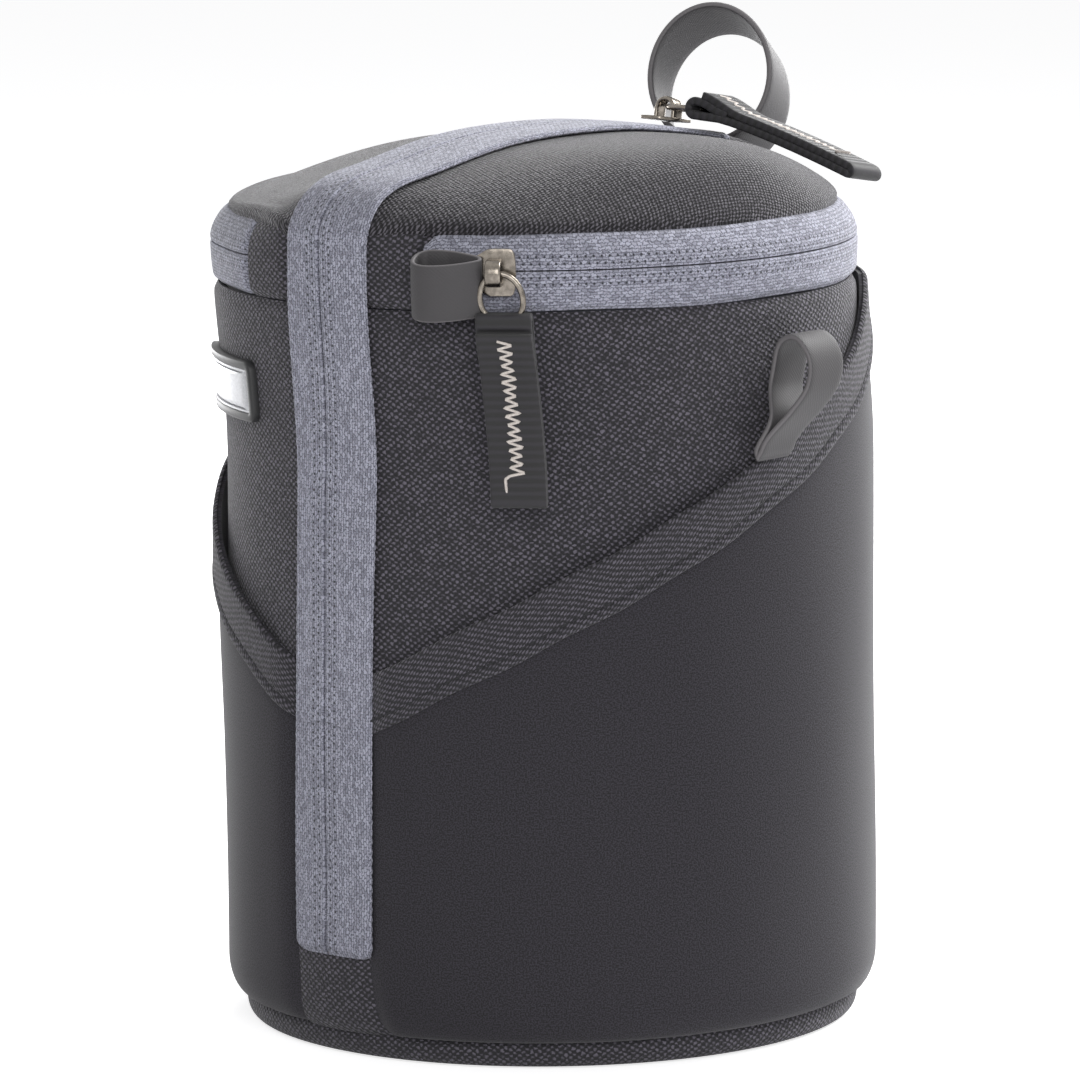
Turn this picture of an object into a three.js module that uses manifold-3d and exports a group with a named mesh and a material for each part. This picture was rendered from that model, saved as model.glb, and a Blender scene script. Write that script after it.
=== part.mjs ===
// A padded round lens pouch: a zipped lid, a front zip, a stretch pocket and strap loops.
// Millimetres. +Z is up, the front zip faces -Y, and the origin is the middle of the base.
// Turn angles are measured at the pouch's axis, in degrees from the front towards +X.
import * as THREE from "three";
import { mergeVertices } from "three/addons/utils/BufferGeometryUtils.js";
import Module from "manifold-3d";

const wasm = await Module();
wasm.setup();

// Driving dimensions: layers
const fit = 0.3; // clearance between pieces that are sewn or seated together
const fabricThickness = 1.0; // woven outer fabric
const foamThickness = 6.4;
const liningThickness = 0.8;
const pocketThickness = 0.8; // stretch fabric
const bindingThickness = 1.0;
const tapeThickness = 1.0;
const coilThickness = 1.5;
const coilWidth = 2.5; // one half of a chain

// Driving dimensions: body
const wallRadius = 63; // outer face of the woven wall
const wallHeight = 146; // seam between the wall and the lid zip
const baseEdgeWidth = 7.7; // the rounded edge round the flat part of the base
const baseSeamHeight = 6.5;
const baseSeamTuck = 0.8; // how far the wall draws in at the base seam
const tuckHeight = 11; // where the wall starts to draw in
const baseFoamTop = 8;

// Driving dimensions: lid and its zip
const bandBulge = 0.5; // the lid zip stands this far out of the wall at its chain
const lowerBandHeight = 7.8; // from the wall's seam up to the chain
const upperBandHeight = 7.2; // from the chain up to the lid's seam
const chainGap = 0.3; // between the two halves of the lid zip
const lidSeamInset = 3.5; // the lid's seam lies this far inside the wall's face
const domeRise = 13;
const domePower = 3.6; // a higher power gives a flatter top
const lidFoamInset = 1.6; // foam and lining stop this far inside the lid's rim
const hingeHalfAngle = 20.5; // the lid zip ends here, and woven gussets hinge the lid
const zipStopAngle = 2; // length of the stop at each end of the lid zip's chain

// Driving dimensions: front zip
const frontTapeHalfWidth = 9.4;
const frontTapeStandOff = 2.3; // the tape's outer face stands this far out of the wall
const frontFlange = 3; // the turned-in edge of the tape, sewn to the slot
const slotClearance = 0.4;
const frontZipBottom = 20;
const shoulderDrop = 3; // the tape leaves the vertical this far below the lid's seam
const shoulderReach = [9, 12.5]; // how far the shoulder curve holds each end's direction
const ridgeRadius = 340; // curve of the tape over the lid
const ridgeTopY = -12;
const ridgeRise = 14.8; // the tape's highest point over the lid's seam
const ridgeFrontInset = 15; // the curve over the lid starts this far behind the wall's face
const ridgeBackInset = 11; // and ends this far before the lid's seam at the back
const frontStopLength = 3.8;
const endPatchHeight = 10.2;
const endPatchHalfWidth = 10.4;

// Driving dimensions: stretch pocket
const pocketFrontHeight = 71; // top edge at the front zip
const pocketSlope = 0.512; // rise of the edge for each millimetre round the pouch
const bindingDrop = 11.5; // height of the binding band
const bindingEndAngle = 150;

// Driving dimensions: badge
const badgeAngle = -37;
const badgeDrop = 17; // its middle is this far below the wall's top seam
const badgeWidth = 37;
const badgeTall = 12;
const badgeThickness = 1.2;
const badgeRim = 2;
const badgeCorner = 3;

// Driving dimensions: strap loops
const strapThickness = 1.5;
const garageAngle = 8.6; // width of the grip loop beside the lid zip's slider
const garageGapAngle = 4.8; // from the slider's middle to the loop's edge
const garageTall = 7.6;
const garageDrop = 0.4; // its top is this far below the chain's middle
const garageStandOff = 6;
const garageWall = 1;
const sideLoopSewn = 6.55; // its foot is this far below the pocket's edge
const sideLoopTall = 22.5;
const sideLoopDepth = 9;
const sideLoopStrap = 10;
const carryLoopSeat = 5.2; // the middle of its foot is this far before the lid's seam
const carryLoopLean = 31.8; // degrees, the lid's slope there
const carryLoopTall = 28.5;
const carryLoopWidth = 25.8;
const carryLoopStrap = 12;
const carryFootWidth = 10;
const beltLoopBottom = 35;
const beltLoopTop = 103;
const beltLoopWidth = 30;
const beltLoopStandOff = 5.2;
const beltLoopSewn = 8; // height of each sewn end
const beltLoopThickness = 1.8;

// Driving dimensions: sliders and pulls
const lidSliderAngle = 33.2; // where the closed lid zip's slider rests
const frontSliderInset = 6.5; // where the closed front zip's slider rests, from the tape's back end
const sliderLength = 9;
const sliderWidth = 9;
const sliderNose = 5.4; // width at its narrow end
const sliderLift = 1.1; // room under the plate for the lid's tape to swing out
const plateThickness = 1.2;
const bridgeWidth = 2.2;
const bridgeSpan = 7.2;
const bridgeRoom = 2.2; // height of the eye under the bridge
const bridgeThickness = 1;
const ringRadius = 4.75;
const wireRadius = 0.65;
const pullWidth = 9.1;
const pullLength = 36;
const pullThickness = 2.6;
const neckWidth = 4.8;
const neckLength = 5;
const neckThickness = 4;
const neckWall = 0.9;
const frontPullDroop = 13; // degrees that the front zip's pull hangs down

const facets = 48; // sides of a full round

// Sizes that follow from the driving dimensions
const wallInner = wallRadius - fabricThickness;
const foamOuter = wallInner - fit;
const foamInner = foamOuter - foamThickness;
const liningOuter = foamInner - fit;
const liningInner = liningOuter - liningThickness;
const pocketOuter = wallRadius + fit + pocketThickness;
const bindingInner = pocketOuter + fit;
const bindingOuter = bindingInner + bindingThickness;
const baseRadius = wallRadius - baseSeamTuck - baseEdgeWidth; // flat part of the base
const bandRadius = wallRadius + bandBulge;
const lidSeamRadius = wallRadius - lidSeamInset;
const chainHeight = wallHeight + lowerBandHeight;
const lidSeamHeight = chainHeight + upperBandHeight;
const wallTop = wallHeight - fit / 2;
const tapeBottom = wallHeight + fit / 2;
const lowerChain = chainHeight - chainGap / 2;
const upperChain = chainHeight + chainGap / 2;
const slotHalfWidth = frontTapeHalfWidth + slotClearance;
const frontFaceY = -(wallRadius + frontTapeStandOff);
const ridgeFrontY = ridgeFrontInset - wallRadius;
const ridgeBackY = lidSeamRadius - ridgeBackInset;
const ridgeCentreHeight = lidSeamHeight + ridgeRise - ridgeRadius;
const frontSliderY = ridgeBackY - frontSliderInset;
const chainStart = hingeHalfAngle + 1.5 * zipStopAngle; // the stop takes the middle of this room
const plateTop = sliderLift + plateThickness;
const wireLift = plateTop + bridgeRoom / 2;

const X = new THREE.Vector3(1, 0, 0);
const Y = new THREE.Vector3(0, 1, 0);
const Z = new THREE.Vector3(0, 0, 1);
const radians = THREE.MathUtils.degToRad;

// Point at a turn angle in radians, a radius and a height.
function around(angle, radius, height) {
  return new THREE.Vector3(radius * Math.sin(angle), -radius * Math.cos(angle), height);
}

// Clean closed mesh: shared corners merged, empty triangles dropped, faces outward.
function weld(geometry) {
  const bare = geometry.clone();
  bare.deleteAttribute("normal");
  bare.deleteAttribute("uv");
  const merged = mergeVertices(bare, 1e-4);
  const position = merged.attributes.position;
  const corners = [0, 1, 2].map(() => new THREE.Vector3());
  const index = [];
  let volume = 0;
  for (let i = 0; i < merged.index.count; i += 3) {
    const triangle = [0, 1, 2].map((k) => merged.index.getX(i + k));
    if (new Set(triangle).size < 3) continue;
    triangle.forEach((vertex, k) => corners[k].fromBufferAttribute(position, vertex));
    volume += corners[0].dot(corners[1].clone().cross(corners[2]));
    index.push(triangle);
  }
  if (volume < 0) index.forEach((triangle) => triangle.reverse());
  merged.setIndex(index.flat());
  return merged;
}

function toSolid(geometry) {
  const mesh = weld(geometry);
  const vertProperties = mesh.attributes.position.array;
  const triVerts = Uint32Array.from(mesh.index.array);
  return new wasm.Manifold(new wasm.Mesh({ numProp: 3, vertProperties, triVerts }));
}

function toGeometry(solid) {
  const mesh = solid.getMesh();
  const geometry = new THREE.BufferGeometry();
  geometry.setAttribute("position", new THREE.BufferAttribute(mesh.vertProperties, 3));
  geometry.setIndex(new THREE.BufferAttribute(mesh.triVerts, 1));
  return geometry;
}

function cut(geometry, ...cutters) {
  return toGeometry(cutters.reduce((solid, cutter) => solid.subtract(toSolid(cutter)), toSolid(geometry)));
}

function join(...geometries) {
  return toGeometry(geometries.map(toSolid).reduce((whole, piece) => whole.add(piece)));
}

// Box from its lowest to its highest corner.
function boxBetween(low, high) {
  const size = high.map((value, k) => value - low[k]);
  const centre = high.map((value, k) => (value + low[k]) / 2);
  return new THREE.BoxGeometry(...size).translate(...centre);
}

// Round of a radius and height profile, turned about the pouch's axis.
function turned(profile) {
  const points = profile.map(([radius, height]) => new THREE.Vector2(radius, height));
  return new THREE.LatheGeometry(points, facets).rotateX(Math.PI / 2);
}

// Ring of a profile that closes on itself.
function turnedRing(profile) {
  return turned([...profile, profile[0]]);
}

// Closed body through a row of loops; the flat outline of a loop gives the triangles of its ends.
function loft(loops, outline, isRing = false) {
  const count = outline.length;
  const index = [];
  const spans = isRing ? loops.length : loops.length - 1;
  for (let i = 0; i < spans; i++) {
    const near = i * count;
    const far = ((i + 1) % loops.length) * count;
    for (let j = 0; j < count; j++) {
      const k = (j + 1) % count;
      index.push(near + j, near + k, far + k, near + j, far + k, far + j);
    }
  }
  if (!isRing) {
    const flat = outline.map(([a, b]) => new THREE.Vector2(a, b));
    const turn = Math.sign(THREE.ShapeUtils.area(flat));
    const last = (loops.length - 1) * count;
    for (const face of THREE.ShapeUtils.triangulateShape(flat, [])) {
      const faceTurn = Math.sign(THREE.ShapeUtils.area(face.map((vertex) => flat[vertex])));
      const [p, q, r] = faceTurn === turn ? face : [...face].reverse();
      index.push(r, q, p, last + p, last + q, last + r);
    }
  }
  const geometry = new THREE.BufferGeometry();
  const positions = loops.flat().flatMap((point) => point.toArray());
  geometry.setAttribute("position", new THREE.Float32BufferAttribute(positions, 3));
  geometry.setIndex(index);
  return geometry;
}

// Turn angles in radians from one angle to another, with the full round's corners between.
function turnsBetween(from, to) {
  const step = 360 / facets;
  const turns = [from];
  for (let i = Math.floor(from / step) + 1; i * step < to - 0.2; i++) {
    if (i * step > from + 0.2) turns.push(i * step);
  }
  return [...turns, to].map(radians);
}

// Panel bent round the pouch; its section gives radius and height at each turn angle.
function bentPanel(from, to, section) {
  const turns = turnsBetween(from, to);
  const loops = turns.map((turn) => section(turn).map(([radius, height]) => around(turn, radius, height)));
  return loft(loops, section(turns[0]));
}

// Outer radius of the wall, drawn in towards the base seam.
function wallOuterAt(height) {
  const share = (tuckHeight - height) / (tuckHeight - baseSeamHeight);
  return wallRadius - baseSeamTuck * Math.max(0, share);
}

// Outer radius of the zip band: a barrel from the wall to the lid's seam.
function bandOuterAt(height) {
  if (height < chainHeight) {
    const down = (chainHeight - height) / (chainHeight - wallHeight);
    return bandRadius - (bandRadius - wallRadius) * down ** 2;
  }
  const up = (height - chainHeight) / (lidSeamHeight - chainHeight);
  return bandRadius - (bandRadius - lidSeamRadius) * up ** 2;
}

// Height of a dome with a given rim radius and rise above the lid's seam.
function domeHeight(radius, rimRadius, rise) {
  return lidSeamHeight + rise * (1 - Math.min(1, radius / rimRadius) ** domePower);
}

// Height of the tape's outer face where it runs over the lid.
function ridgeHeightAt(y) {
  return ridgeCentreHeight + Math.sqrt(ridgeRadius ** 2 - (y - ridgeTopY) ** 2);
}

const pouch = new THREE.Group();

function add(parent, name, geometry, finish) {
  const mesh = new THREE.Mesh(weld(geometry), new THREE.MeshStandardMaterial(finish));
  mesh.name = name;
  parent.add(mesh);
}

const wovenFabric = { color: "#3b3c41", roughness: 0.85, metalness: 0 };
const lidTwill = { color: "#4a4a4d", roughness: 0.8, metalness: 0 };
const stretchFabric = { color: "#38383e", roughness: 0.9, metalness: 0 };
const bindingTape = { color: "#34343a", roughness: 0.85, metalness: 0 };
const zipTape = { color: "#7b7d88", roughness: 0.8, metalness: 0 };
const zipCoil = { color: "#3a3b42", roughness: 0.5, metalness: 0 };
const paddingFoam = { color: "#56575a", roughness: 0.95, metalness: 0 };
const softLining = { color: "#6d6e73", roughness: 0.9, metalness: 0 };
const smoothStrap = { color: "#5b5c5f", roughness: 0.6, metalness: 0 };
const blackWebbing = { color: "#17171a", roughness: 0.8, metalness: 0 };
const nickel = { color: "#b9b2a6", roughness: 0.3, metalness: 1 };
const badgeDark = { color: "#2a2a2d", roughness: 0.5, metalness: 0 };
const badgeSilver = { color: "#b4b5b8", roughness: 0.4, metalness: 1 };

// Cutters that open the wall and the lid under the front zip
const wallSlot = boxBetween(
  [-slotHalfWidth, -2 * wallRadius, frontZipBottom - fit],
  [slotHalfWidth, -wallRadius / 2, 2 * lidSeamHeight]
);
const lidSlot = boxBetween(
  [-slotHalfWidth, -2 * wallRadius, lidSeamHeight / 2],
  [slotHalfWidth, ridgeBackY + slotClearance, 2 * lidSeamHeight]
);

// Quarter ellipse at the base's edge, from the flat to the seam, drawn in by an inset.
function baseCorner(inset) {
  const wide = baseEdgeWidth - inset;
  const tall = baseSeamHeight - inset;
  const steps = 4;
  return Array.from({ length: steps + 1 }, (_, i) => {
    const turn = (Math.PI / 2) * (i / steps);
    return [baseRadius + wide * Math.sin(turn), baseSeamHeight - tall * Math.cos(turn)];
  });
}

function addBase() {
  const outside = baseCorner(0);
  const inside = baseCorner(fabricThickness).reverse();
  const foamEdge = baseCorner(fabricThickness + fit);
  const foamRadius = foamEdge.at(-1)[0];
  const foamBottom = fabricThickness + fit;
  const liningBottom = baseFoamTop + fit;
  const liningTop = liningBottom + liningThickness;
  add(pouch, "base_panel", turned([[0, 0], ...outside, ...inside, [0, fabricThickness]]), wovenFabric);
  const foamProfile = [[0, foamBottom], ...foamEdge, [foamRadius, baseFoamTop], [0, baseFoamTop]];
  add(pouch, "base_foam", turned(foamProfile), paddingFoam);
  const discProfile = [
    [0, liningBottom],
    [liningOuter, liningBottom],
    [liningOuter, liningTop],
    [0, liningTop],
  ];
  add(pouch, "base_lining", turned(discProfile), softLining);
}

function addWall() {
  const bottom = baseSeamHeight + fit;
  const foamBottom = baseFoamTop + fit;
  const foamTop = wallTop - liningThickness - fit;
  const liningBottom = foamBottom + liningThickness + fit;
  const fabricProfile = [
    [wallOuterAt(bottom) - fabricThickness, bottom],
    [wallOuterAt(bottom), bottom],
    [wallRadius, tuckHeight],
    [wallRadius, wallTop],
    [wallInner, wallTop],
    [wallInner, tuckHeight],
  ];
  const foamProfile = [
    [foamInner, foamBottom],
    [wallOuterAt(foamBottom) - fabricThickness - fit, foamBottom],
    [foamOuter, tuckHeight],
    [foamOuter, foamTop],
    [foamInner, foamTop],
  ];
  const liningProfile = [
    [liningInner, liningBottom],
    [liningOuter, liningBottom],
    [liningOuter, wallTop - liningThickness],
    [foamOuter, wallTop - liningThickness],
    [foamOuter, wallTop],
    [liningInner, wallTop],
  ];
  add(pouch, "wall_outer_fabric", cut(turnedRing(fabricProfile), wallSlot), wovenFabric);
  add(pouch, "wall_foam", cut(turnedRing(foamProfile), wallSlot), paddingFoam);
  add(pouch, "wall_lining", cut(turnedRing(liningProfile), wallSlot), softLining);
}

// Height of the pocket's top edge at a turn angle, without its cap at the wall's top.
function pocketEdgeAt(turn) {
  const fromFront = Math.abs(Math.atan2(Math.sin(turn), Math.cos(turn)));
  return pocketFrontHeight + pocketSlope * fromFront * pocketOuter;
}

function addPocket() {
  const bottom = baseSeamHeight + fit;
  const section = (turn) => {
    const top = Math.min(wallTop, pocketEdgeAt(turn));
    const inner = wallRadius + fit;
    return [
      [wallOuterAt(bottom) + fit, bottom],
      [wallOuterAt(bottom) + fit + pocketThickness, bottom],
      [pocketOuter, tuckHeight],
      [pocketOuter, top],
      [inner, top],
      [inner, tuckHeight],
    ];
  };
  const turns = Array.from({ length: facets }, (_, i) => (2 * Math.PI * i) / facets);
  const loops = turns.map((turn) => section(turn).map(([radius, height]) => around(turn, radius, height)));
  add(pouch, "stretch_pocket", cut(loft(loops, section(0), true), wallSlot), stretchFabric);
}

function addBinding(name, isRight) {
  const section = (turn) => {
    const edge = pocketEdgeAt(turn);
    const top = Math.min(wallTop, edge);
    return [
      [bindingInner, edge - bindingDrop],
      [bindingOuter, edge - bindingDrop],
      [bindingOuter, top],
      [bindingInner, top],
    ];
  };
  const start = THREE.MathUtils.radToDeg(Math.asin(slotHalfWidth / bindingInner));
  const range = isRight ? [start, bindingEndAngle] : [-bindingEndAngle, -start];
  add(pouch, name, bentPanel(...range, section), bindingTape);
}

// Section of one half of the zip band between two heights, as thick as the tape.
function bandSection(low, high) {
  const steps = 3;
  const heights = Array.from({ length: steps + 1 }, (_, i) => low + ((high - low) * i) / steps);
  const outside = heights.map((height) => [bandOuterAt(height), height]);
  const inside = heights.map((height) => [bandOuterAt(height) - tapeThickness, height]);
  return [...outside, ...inside.reverse()];
}

// Section of one half of the lid zip's chain, behind the tape.
function chainSection(low, high) {
  const outer = Math.min(bandOuterAt(low), bandOuterAt(high)) - tapeThickness - fit;
  const inner = outer - coilThickness;
  return [[inner, low], [outer, low], [outer, high], [inner, high]];
}

// One half of the zip band: its tape, its chain and the two woven gussets at the hinge.
function addBandHalf(half, tapeRange, chainRange) {
  const tape = bandSection(...tapeRange);
  const chain = chainSection(...chainRange);
  const innermost = Math.min(...tape.map(([radius]) => radius));
  const gussetFrom = THREE.MathUtils.radToDeg(Math.asin(slotHalfWidth / innermost));
  const gussetTo = hingeHalfAngle - THREE.MathUtils.radToDeg(fit / bandRadius);
  add(pouch, `lid_zip_tape_${half}`, bentPanel(hingeHalfAngle, 360 - hingeHalfAngle, () => tape), zipTape);
  add(pouch, `lid_zip_coil_${half}`, bentPanel(chainStart, 360 - chainStart, () => chain), zipCoil);
  add(pouch, `hinge_gusset_${half}_right`, bentPanel(gussetFrom, gussetTo, () => tape), wovenFabric);
  add(pouch, `hinge_gusset_${half}_left`, bentPanel(-gussetTo, -gussetFrom, () => tape), wovenFabric);
}

function addLidZip() {
  const lowerChainRange = [lowerChain - coilWidth, lowerChain];
  const upperChainRange = [upperChain, upperChain + coilWidth];
  addBandHalf("lower", [tapeBottom, lowerChain], lowerChainRange);
  addBandHalf("upper", [upperChain, lidSeamHeight - fit], upperChainRange);
  const stop = chainSection(...lowerChainRange);
  const stopFrom = hingeHalfAngle + zipStopAngle / 2;
  const stopTo = chainStart - THREE.MathUtils.radToDeg(fit / wallRadius);
  add(pouch, "lid_zip_stop_right", bentPanel(stopFrom, stopTo, () => stop), nickel);
  add(pouch, "lid_zip_stop_left", bentPanel(-stopTo, -stopFrom, () => stop), nickel);
}

function addLid() {
  const shares = [0, 0.35, 0.6, 0.75, 0.85, 0.93, 1];
  const dome = (rimRadius, rise, lift) =>
    shares.map((share) => [share * rimRadius, domeHeight(share * rimRadius, rimRadius, rise) + lift]);
  const outside = dome(lidSeamRadius, domeRise, 0);
  const inside = dome(lidSeamRadius - fabricThickness, domeRise - fabricThickness, 0).reverse();
  add(pouch, "lid_top_fabric", cut(turned([...outside, ...inside]), lidSlot), lidTwill);
  const padRadius = lidSeamRadius - lidFoamInset;
  const padTop = dome(padRadius, domeRise - fabricThickness - 2 * fit, fit);
  add(pouch, "lid_foam", cut(turned([...padTop, [0, lidSeamHeight + fit]]), lidSlot), paddingFoam);
  const liningBottom = lidSeamHeight - liningThickness;
  const liningProfile = [
    [0, liningBottom],
    [padRadius, liningBottom],
    [padRadius, lidSeamHeight],
    [0, lidSeamHeight],
  ];
  add(pouch, "lid_lining", cut(turned(liningProfile), lidSlot), softLining);
}

// Stations of the front zip over the lid: a point in the YZ plane and the direction into the pouch.
function lidTapeStations(backY) {
  const slope = (y) => -(y - ridgeTopY) / Math.sqrt(ridgeRadius ** 2 - (y - ridgeTopY) ** 2);
  const [shoulderUp, shoulderBack] = shoulderReach;
  const ridgeFront = new THREE.Vector2(ridgeFrontY, ridgeHeightAt(ridgeFrontY));
  const shoulderStart = lidSeamHeight - shoulderDrop;
  const shoulder = new THREE.CubicBezierCurve(
    new THREE.Vector2(frontFaceY, shoulderStart),
    new THREE.Vector2(frontFaceY, shoulderStart + shoulderUp),
    new THREE.Vector2(ridgeFrontY - shoulderBack, ridgeFront.y - shoulderBack * slope(ridgeFrontY)),
    ridgeFront
  );
  const stations = [{ point: new THREE.Vector2(frontFaceY, upperChain), inward: new THREE.Vector2(1, 0) }];
  const shoulderSteps = 9;
  for (let i = 0; i <= shoulderSteps; i++) {
    const point = shoulder.getPoint(i / shoulderSteps);
    const tangent = shoulder.getTangent(i / shoulderSteps);
    stations.push({ point, inward: new THREE.Vector2(tangent.y, -tangent.x) });
  }
  const ridgeSteps = 12;
  for (let i = 1; i <= ridgeSteps; i++) {
    const y = ridgeFrontY + ((backY - ridgeFrontY) * i) / ridgeSteps;
    const point = new THREE.Vector2(y, ridgeHeightAt(y));
    const inward = new THREE.Vector2(ridgeTopY - y, ridgeCentreHeight - point.y).normalize();
    stations.push({ point, inward });
  }
  return stations;
}

// Depth at which a tape edge reaches into the lid, measured along the direction into the pouch.
function lidFlangeDepth({ point, inward }) {
  const step = 0.25;
  for (let depth = frontFlange; depth < 4 * frontFlange; depth += step) {
    const edge = point.clone().addScaledVector(inward, depth - tapeThickness);
    const radius = Math.hypot(frontTapeHalfWidth, edge.x);
    const isUnderDome = edge.y >= lidSeamHeight && edge.y < domeHeight(radius, lidSeamRadius, domeRise);
    const isInsideBand = edge.y < lidSeamHeight && radius < bandOuterAt(edge.y);
    if (isUnderDome || isInsideBand) return depth;
  }
  return 4 * frontFlange;
}

// Outline of one tape half across the zip: flat beside the chain, its outer edge turned in.
function tapeOutline(side, flange) {
  const inner = chainGap / 2;
  const outer = frontTapeHalfWidth;
  return [
    [inner, 0],
    [outer - tapeThickness, 0],
    [outer, tapeThickness],
    [outer, flange],
    [outer - tapeThickness, flange],
    [outer - tapeThickness, 1.5 * tapeThickness],
    [outer - 1.5 * tapeThickness, tapeThickness],
    [inner, tapeThickness],
  ].map(([x, depth]) => [side * x, depth]);
}

function coilOutline(side) {
  const near = tapeThickness + fit;
  const inner = chainGap / 2;
  return [
    [inner, near],
    [inner + coilWidth, near],
    [inner + coilWidth, near + coilThickness],
    [inner, near + coilThickness],
  ].map(([x, depth]) => [side * x, depth]);
}

// Strip along stations in the YZ plane; an outline gives x and the depth into the pouch.
function strip(stations, outlineAt) {
  const loops = stations.map((station) => {
    const { point, inward } = station;
    return outlineAt(station).map(
      ([x, depth]) => new THREE.Vector3(x, point.x + inward.x * depth, point.y + inward.y * depth)
    );
  });
  return loft(loops, outlineAt(stations[0]));
}

function addFrontZip() {
  const inward = new THREE.Vector2(1, 0);
  const upright = (...heights) =>
    heights.map((height) => ({ point: new THREE.Vector2(frontFaceY, height), inward }));
  const bodyRun = upright(frontZipBottom, lowerChain);
  const bodyCoilRun = upright(frontZipBottom + frontStopLength + 2 * fit, lowerChain);
  const lidRun = lidTapeStations(ridgeBackY);
  const lidCoilRun = lidTapeStations(ridgeBackY - frontStopLength - 2 * fit);
  for (const [name, side] of [["right", 1], ["left", -1]]) {
    const coil = coilOutline(side);
    add(pouch, `front_zip_tape_${name}`, strip(bodyRun, () => tapeOutline(side, frontFlange)), zipTape);
    add(pouch, `front_zip_coil_${name}`, strip(bodyCoilRun, () => coil), zipCoil);
    const lidOutline = (station) => tapeOutline(side, lidFlangeDepth(station));
    add(pouch, `lid_front_tape_${name}`, strip(lidRun, lidOutline), zipTape);
    add(pouch, `lid_front_coil_${name}`, strip(lidCoilRun, () => coil), zipCoil);
  }
  const stopHalf = chainGap / 2 + coilWidth;
  const stopNear = tapeThickness + fit;
  const stopFar = stopNear + coilThickness;
  const stopOutline = [
    [-stopHalf, stopNear],
    [stopHalf, stopNear],
    [stopHalf, stopFar],
    [-stopHalf, stopFar],
  ];
  const bottomStop = upright(frontZipBottom + fit, frontZipBottom + frontStopLength);
  add(pouch, "front_zip_bottom_stop", strip(bottomStop, () => stopOutline), nickel);
  const topStop = [ridgeBackY - frontStopLength, ridgeBackY - fit].map((y) => {
    const point = new THREE.Vector2(y, ridgeHeightAt(y));
    return { point, inward: new THREE.Vector2(ridgeTopY - y, ridgeCentreHeight - point.y).normalize() };
  });
  add(pouch, "front_zip_top_stop", strip(topStop, () => stopOutline), nickel);
  const patchY = -(pocketOuter + fit);
  const patchTop = frontZipBottom - fit;
  const patch = boxBetween(
    [-endPatchHalfWidth, patchY - fabricThickness, patchTop - endPatchHeight],
    [endPatchHalfWidth, patchY, patchTop]
  );
  add(pouch, "front_zip_end_patch", patch, wovenFabric);
}

// Half heights of a rounded rectangle from its left end to its right end.
function badgeStations(width, tall, corner) {
  const cornerSteps = 3;
  const longSteps = 8;
  const straight = width / 2 - corner;
  const leftEnd = Array.from({ length: cornerSteps + 1 }, (_, i) => {
    const turn = (Math.PI / 2) * (i / cornerSteps);
    return [-straight - corner * Math.cos(turn), tall / 2 - corner * (1 - Math.sin(turn))];
  });
  const middle = Array.from({ length: longSteps - 1 }, (_, i) => {
    return [straight * ((2 * (i + 1)) / longSteps - 1), tall / 2];
  });
  const rightEnd = leftEnd.map(([along, half]) => [-along, half]).reverse();
  return [...leftEnd, ...middle, ...rightEnd];
}

// Rounded plate bent round the wall at the badge's place, between two depths over its seat.
function bentBadge(width, tall, corner, low, high) {
  const seat = wallRadius + fit;
  const middleHeight = wallHeight - badgeDrop;
  const outline = (half) => [[low, -half], [high, -half], [high, half], [low, half]];
  const loops = badgeStations(width, tall, corner).map(([along, half]) => {
    const turn = radians(badgeAngle) + along / seat;
    return outline(half).map(([depth, height]) => around(turn, seat + depth, middleHeight + height));
  });
  return loft(loops, outline(tall));
}

function addBadge() {
  const inset = 2 * badgeRim;
  const innerCorner = badgeCorner - badgeRim / 2;
  const whole = bentBadge(badgeWidth, badgeTall, badgeCorner, 0, badgeThickness);
  const window = bentBadge(badgeWidth - inset, badgeTall - inset, innerCorner, -fit, badgeThickness + fit);
  add(pouch, "badge_frame", cut(whole, window), badgeDark);
  const plateInset = inset + 2 * fit;
  const plateSize = [badgeWidth - plateInset, badgeTall - plateInset, innerCorner - fit];
  add(pouch, "badge_plate", bentBadge(...plateSize, 0, badgeThickness / 2), badgeSilver);
}

// Points of a teardrop with its tip at the origin; lean pulls the tip towards its -x side.
function teardrop(width, tall, inset, lean) {
  const steps = 28;
  const widest = 0.77; // greatest value of sin(t) sin(t / 2)
  const halfTall = tall / 2 - inset;
  const halfWide = (width / 2 - inset) / widest;
  return Array.from({ length: steps }, (_, i) => {
    const turn = (2 * Math.PI * (i + 0.5)) / steps;
    const height = tall / 2 - halfTall * Math.cos(turn);
    const shift = lean * Math.min(0, height / (tall / 2) - 1);
    return new THREE.Vector2(halfWide * Math.sin(turn) * Math.sin(turn / 2) + shift, height);
  });
}

// Strap bent to a teardrop loop, as wide as the strap.
function strapLoop(width, tall, strapWidth, lean) {
  const shape = new THREE.Shape(teardrop(width, tall, 0, lean));
  shape.holes.push(new THREE.Path(teardrop(width, tall, strapThickness, lean)));
  const loop = new THREE.ExtrudeGeometry(shape, { depth: strapWidth, bevelEnabled: false });
  return loop.translate(0, 0, -strapWidth / 2);
}

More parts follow.
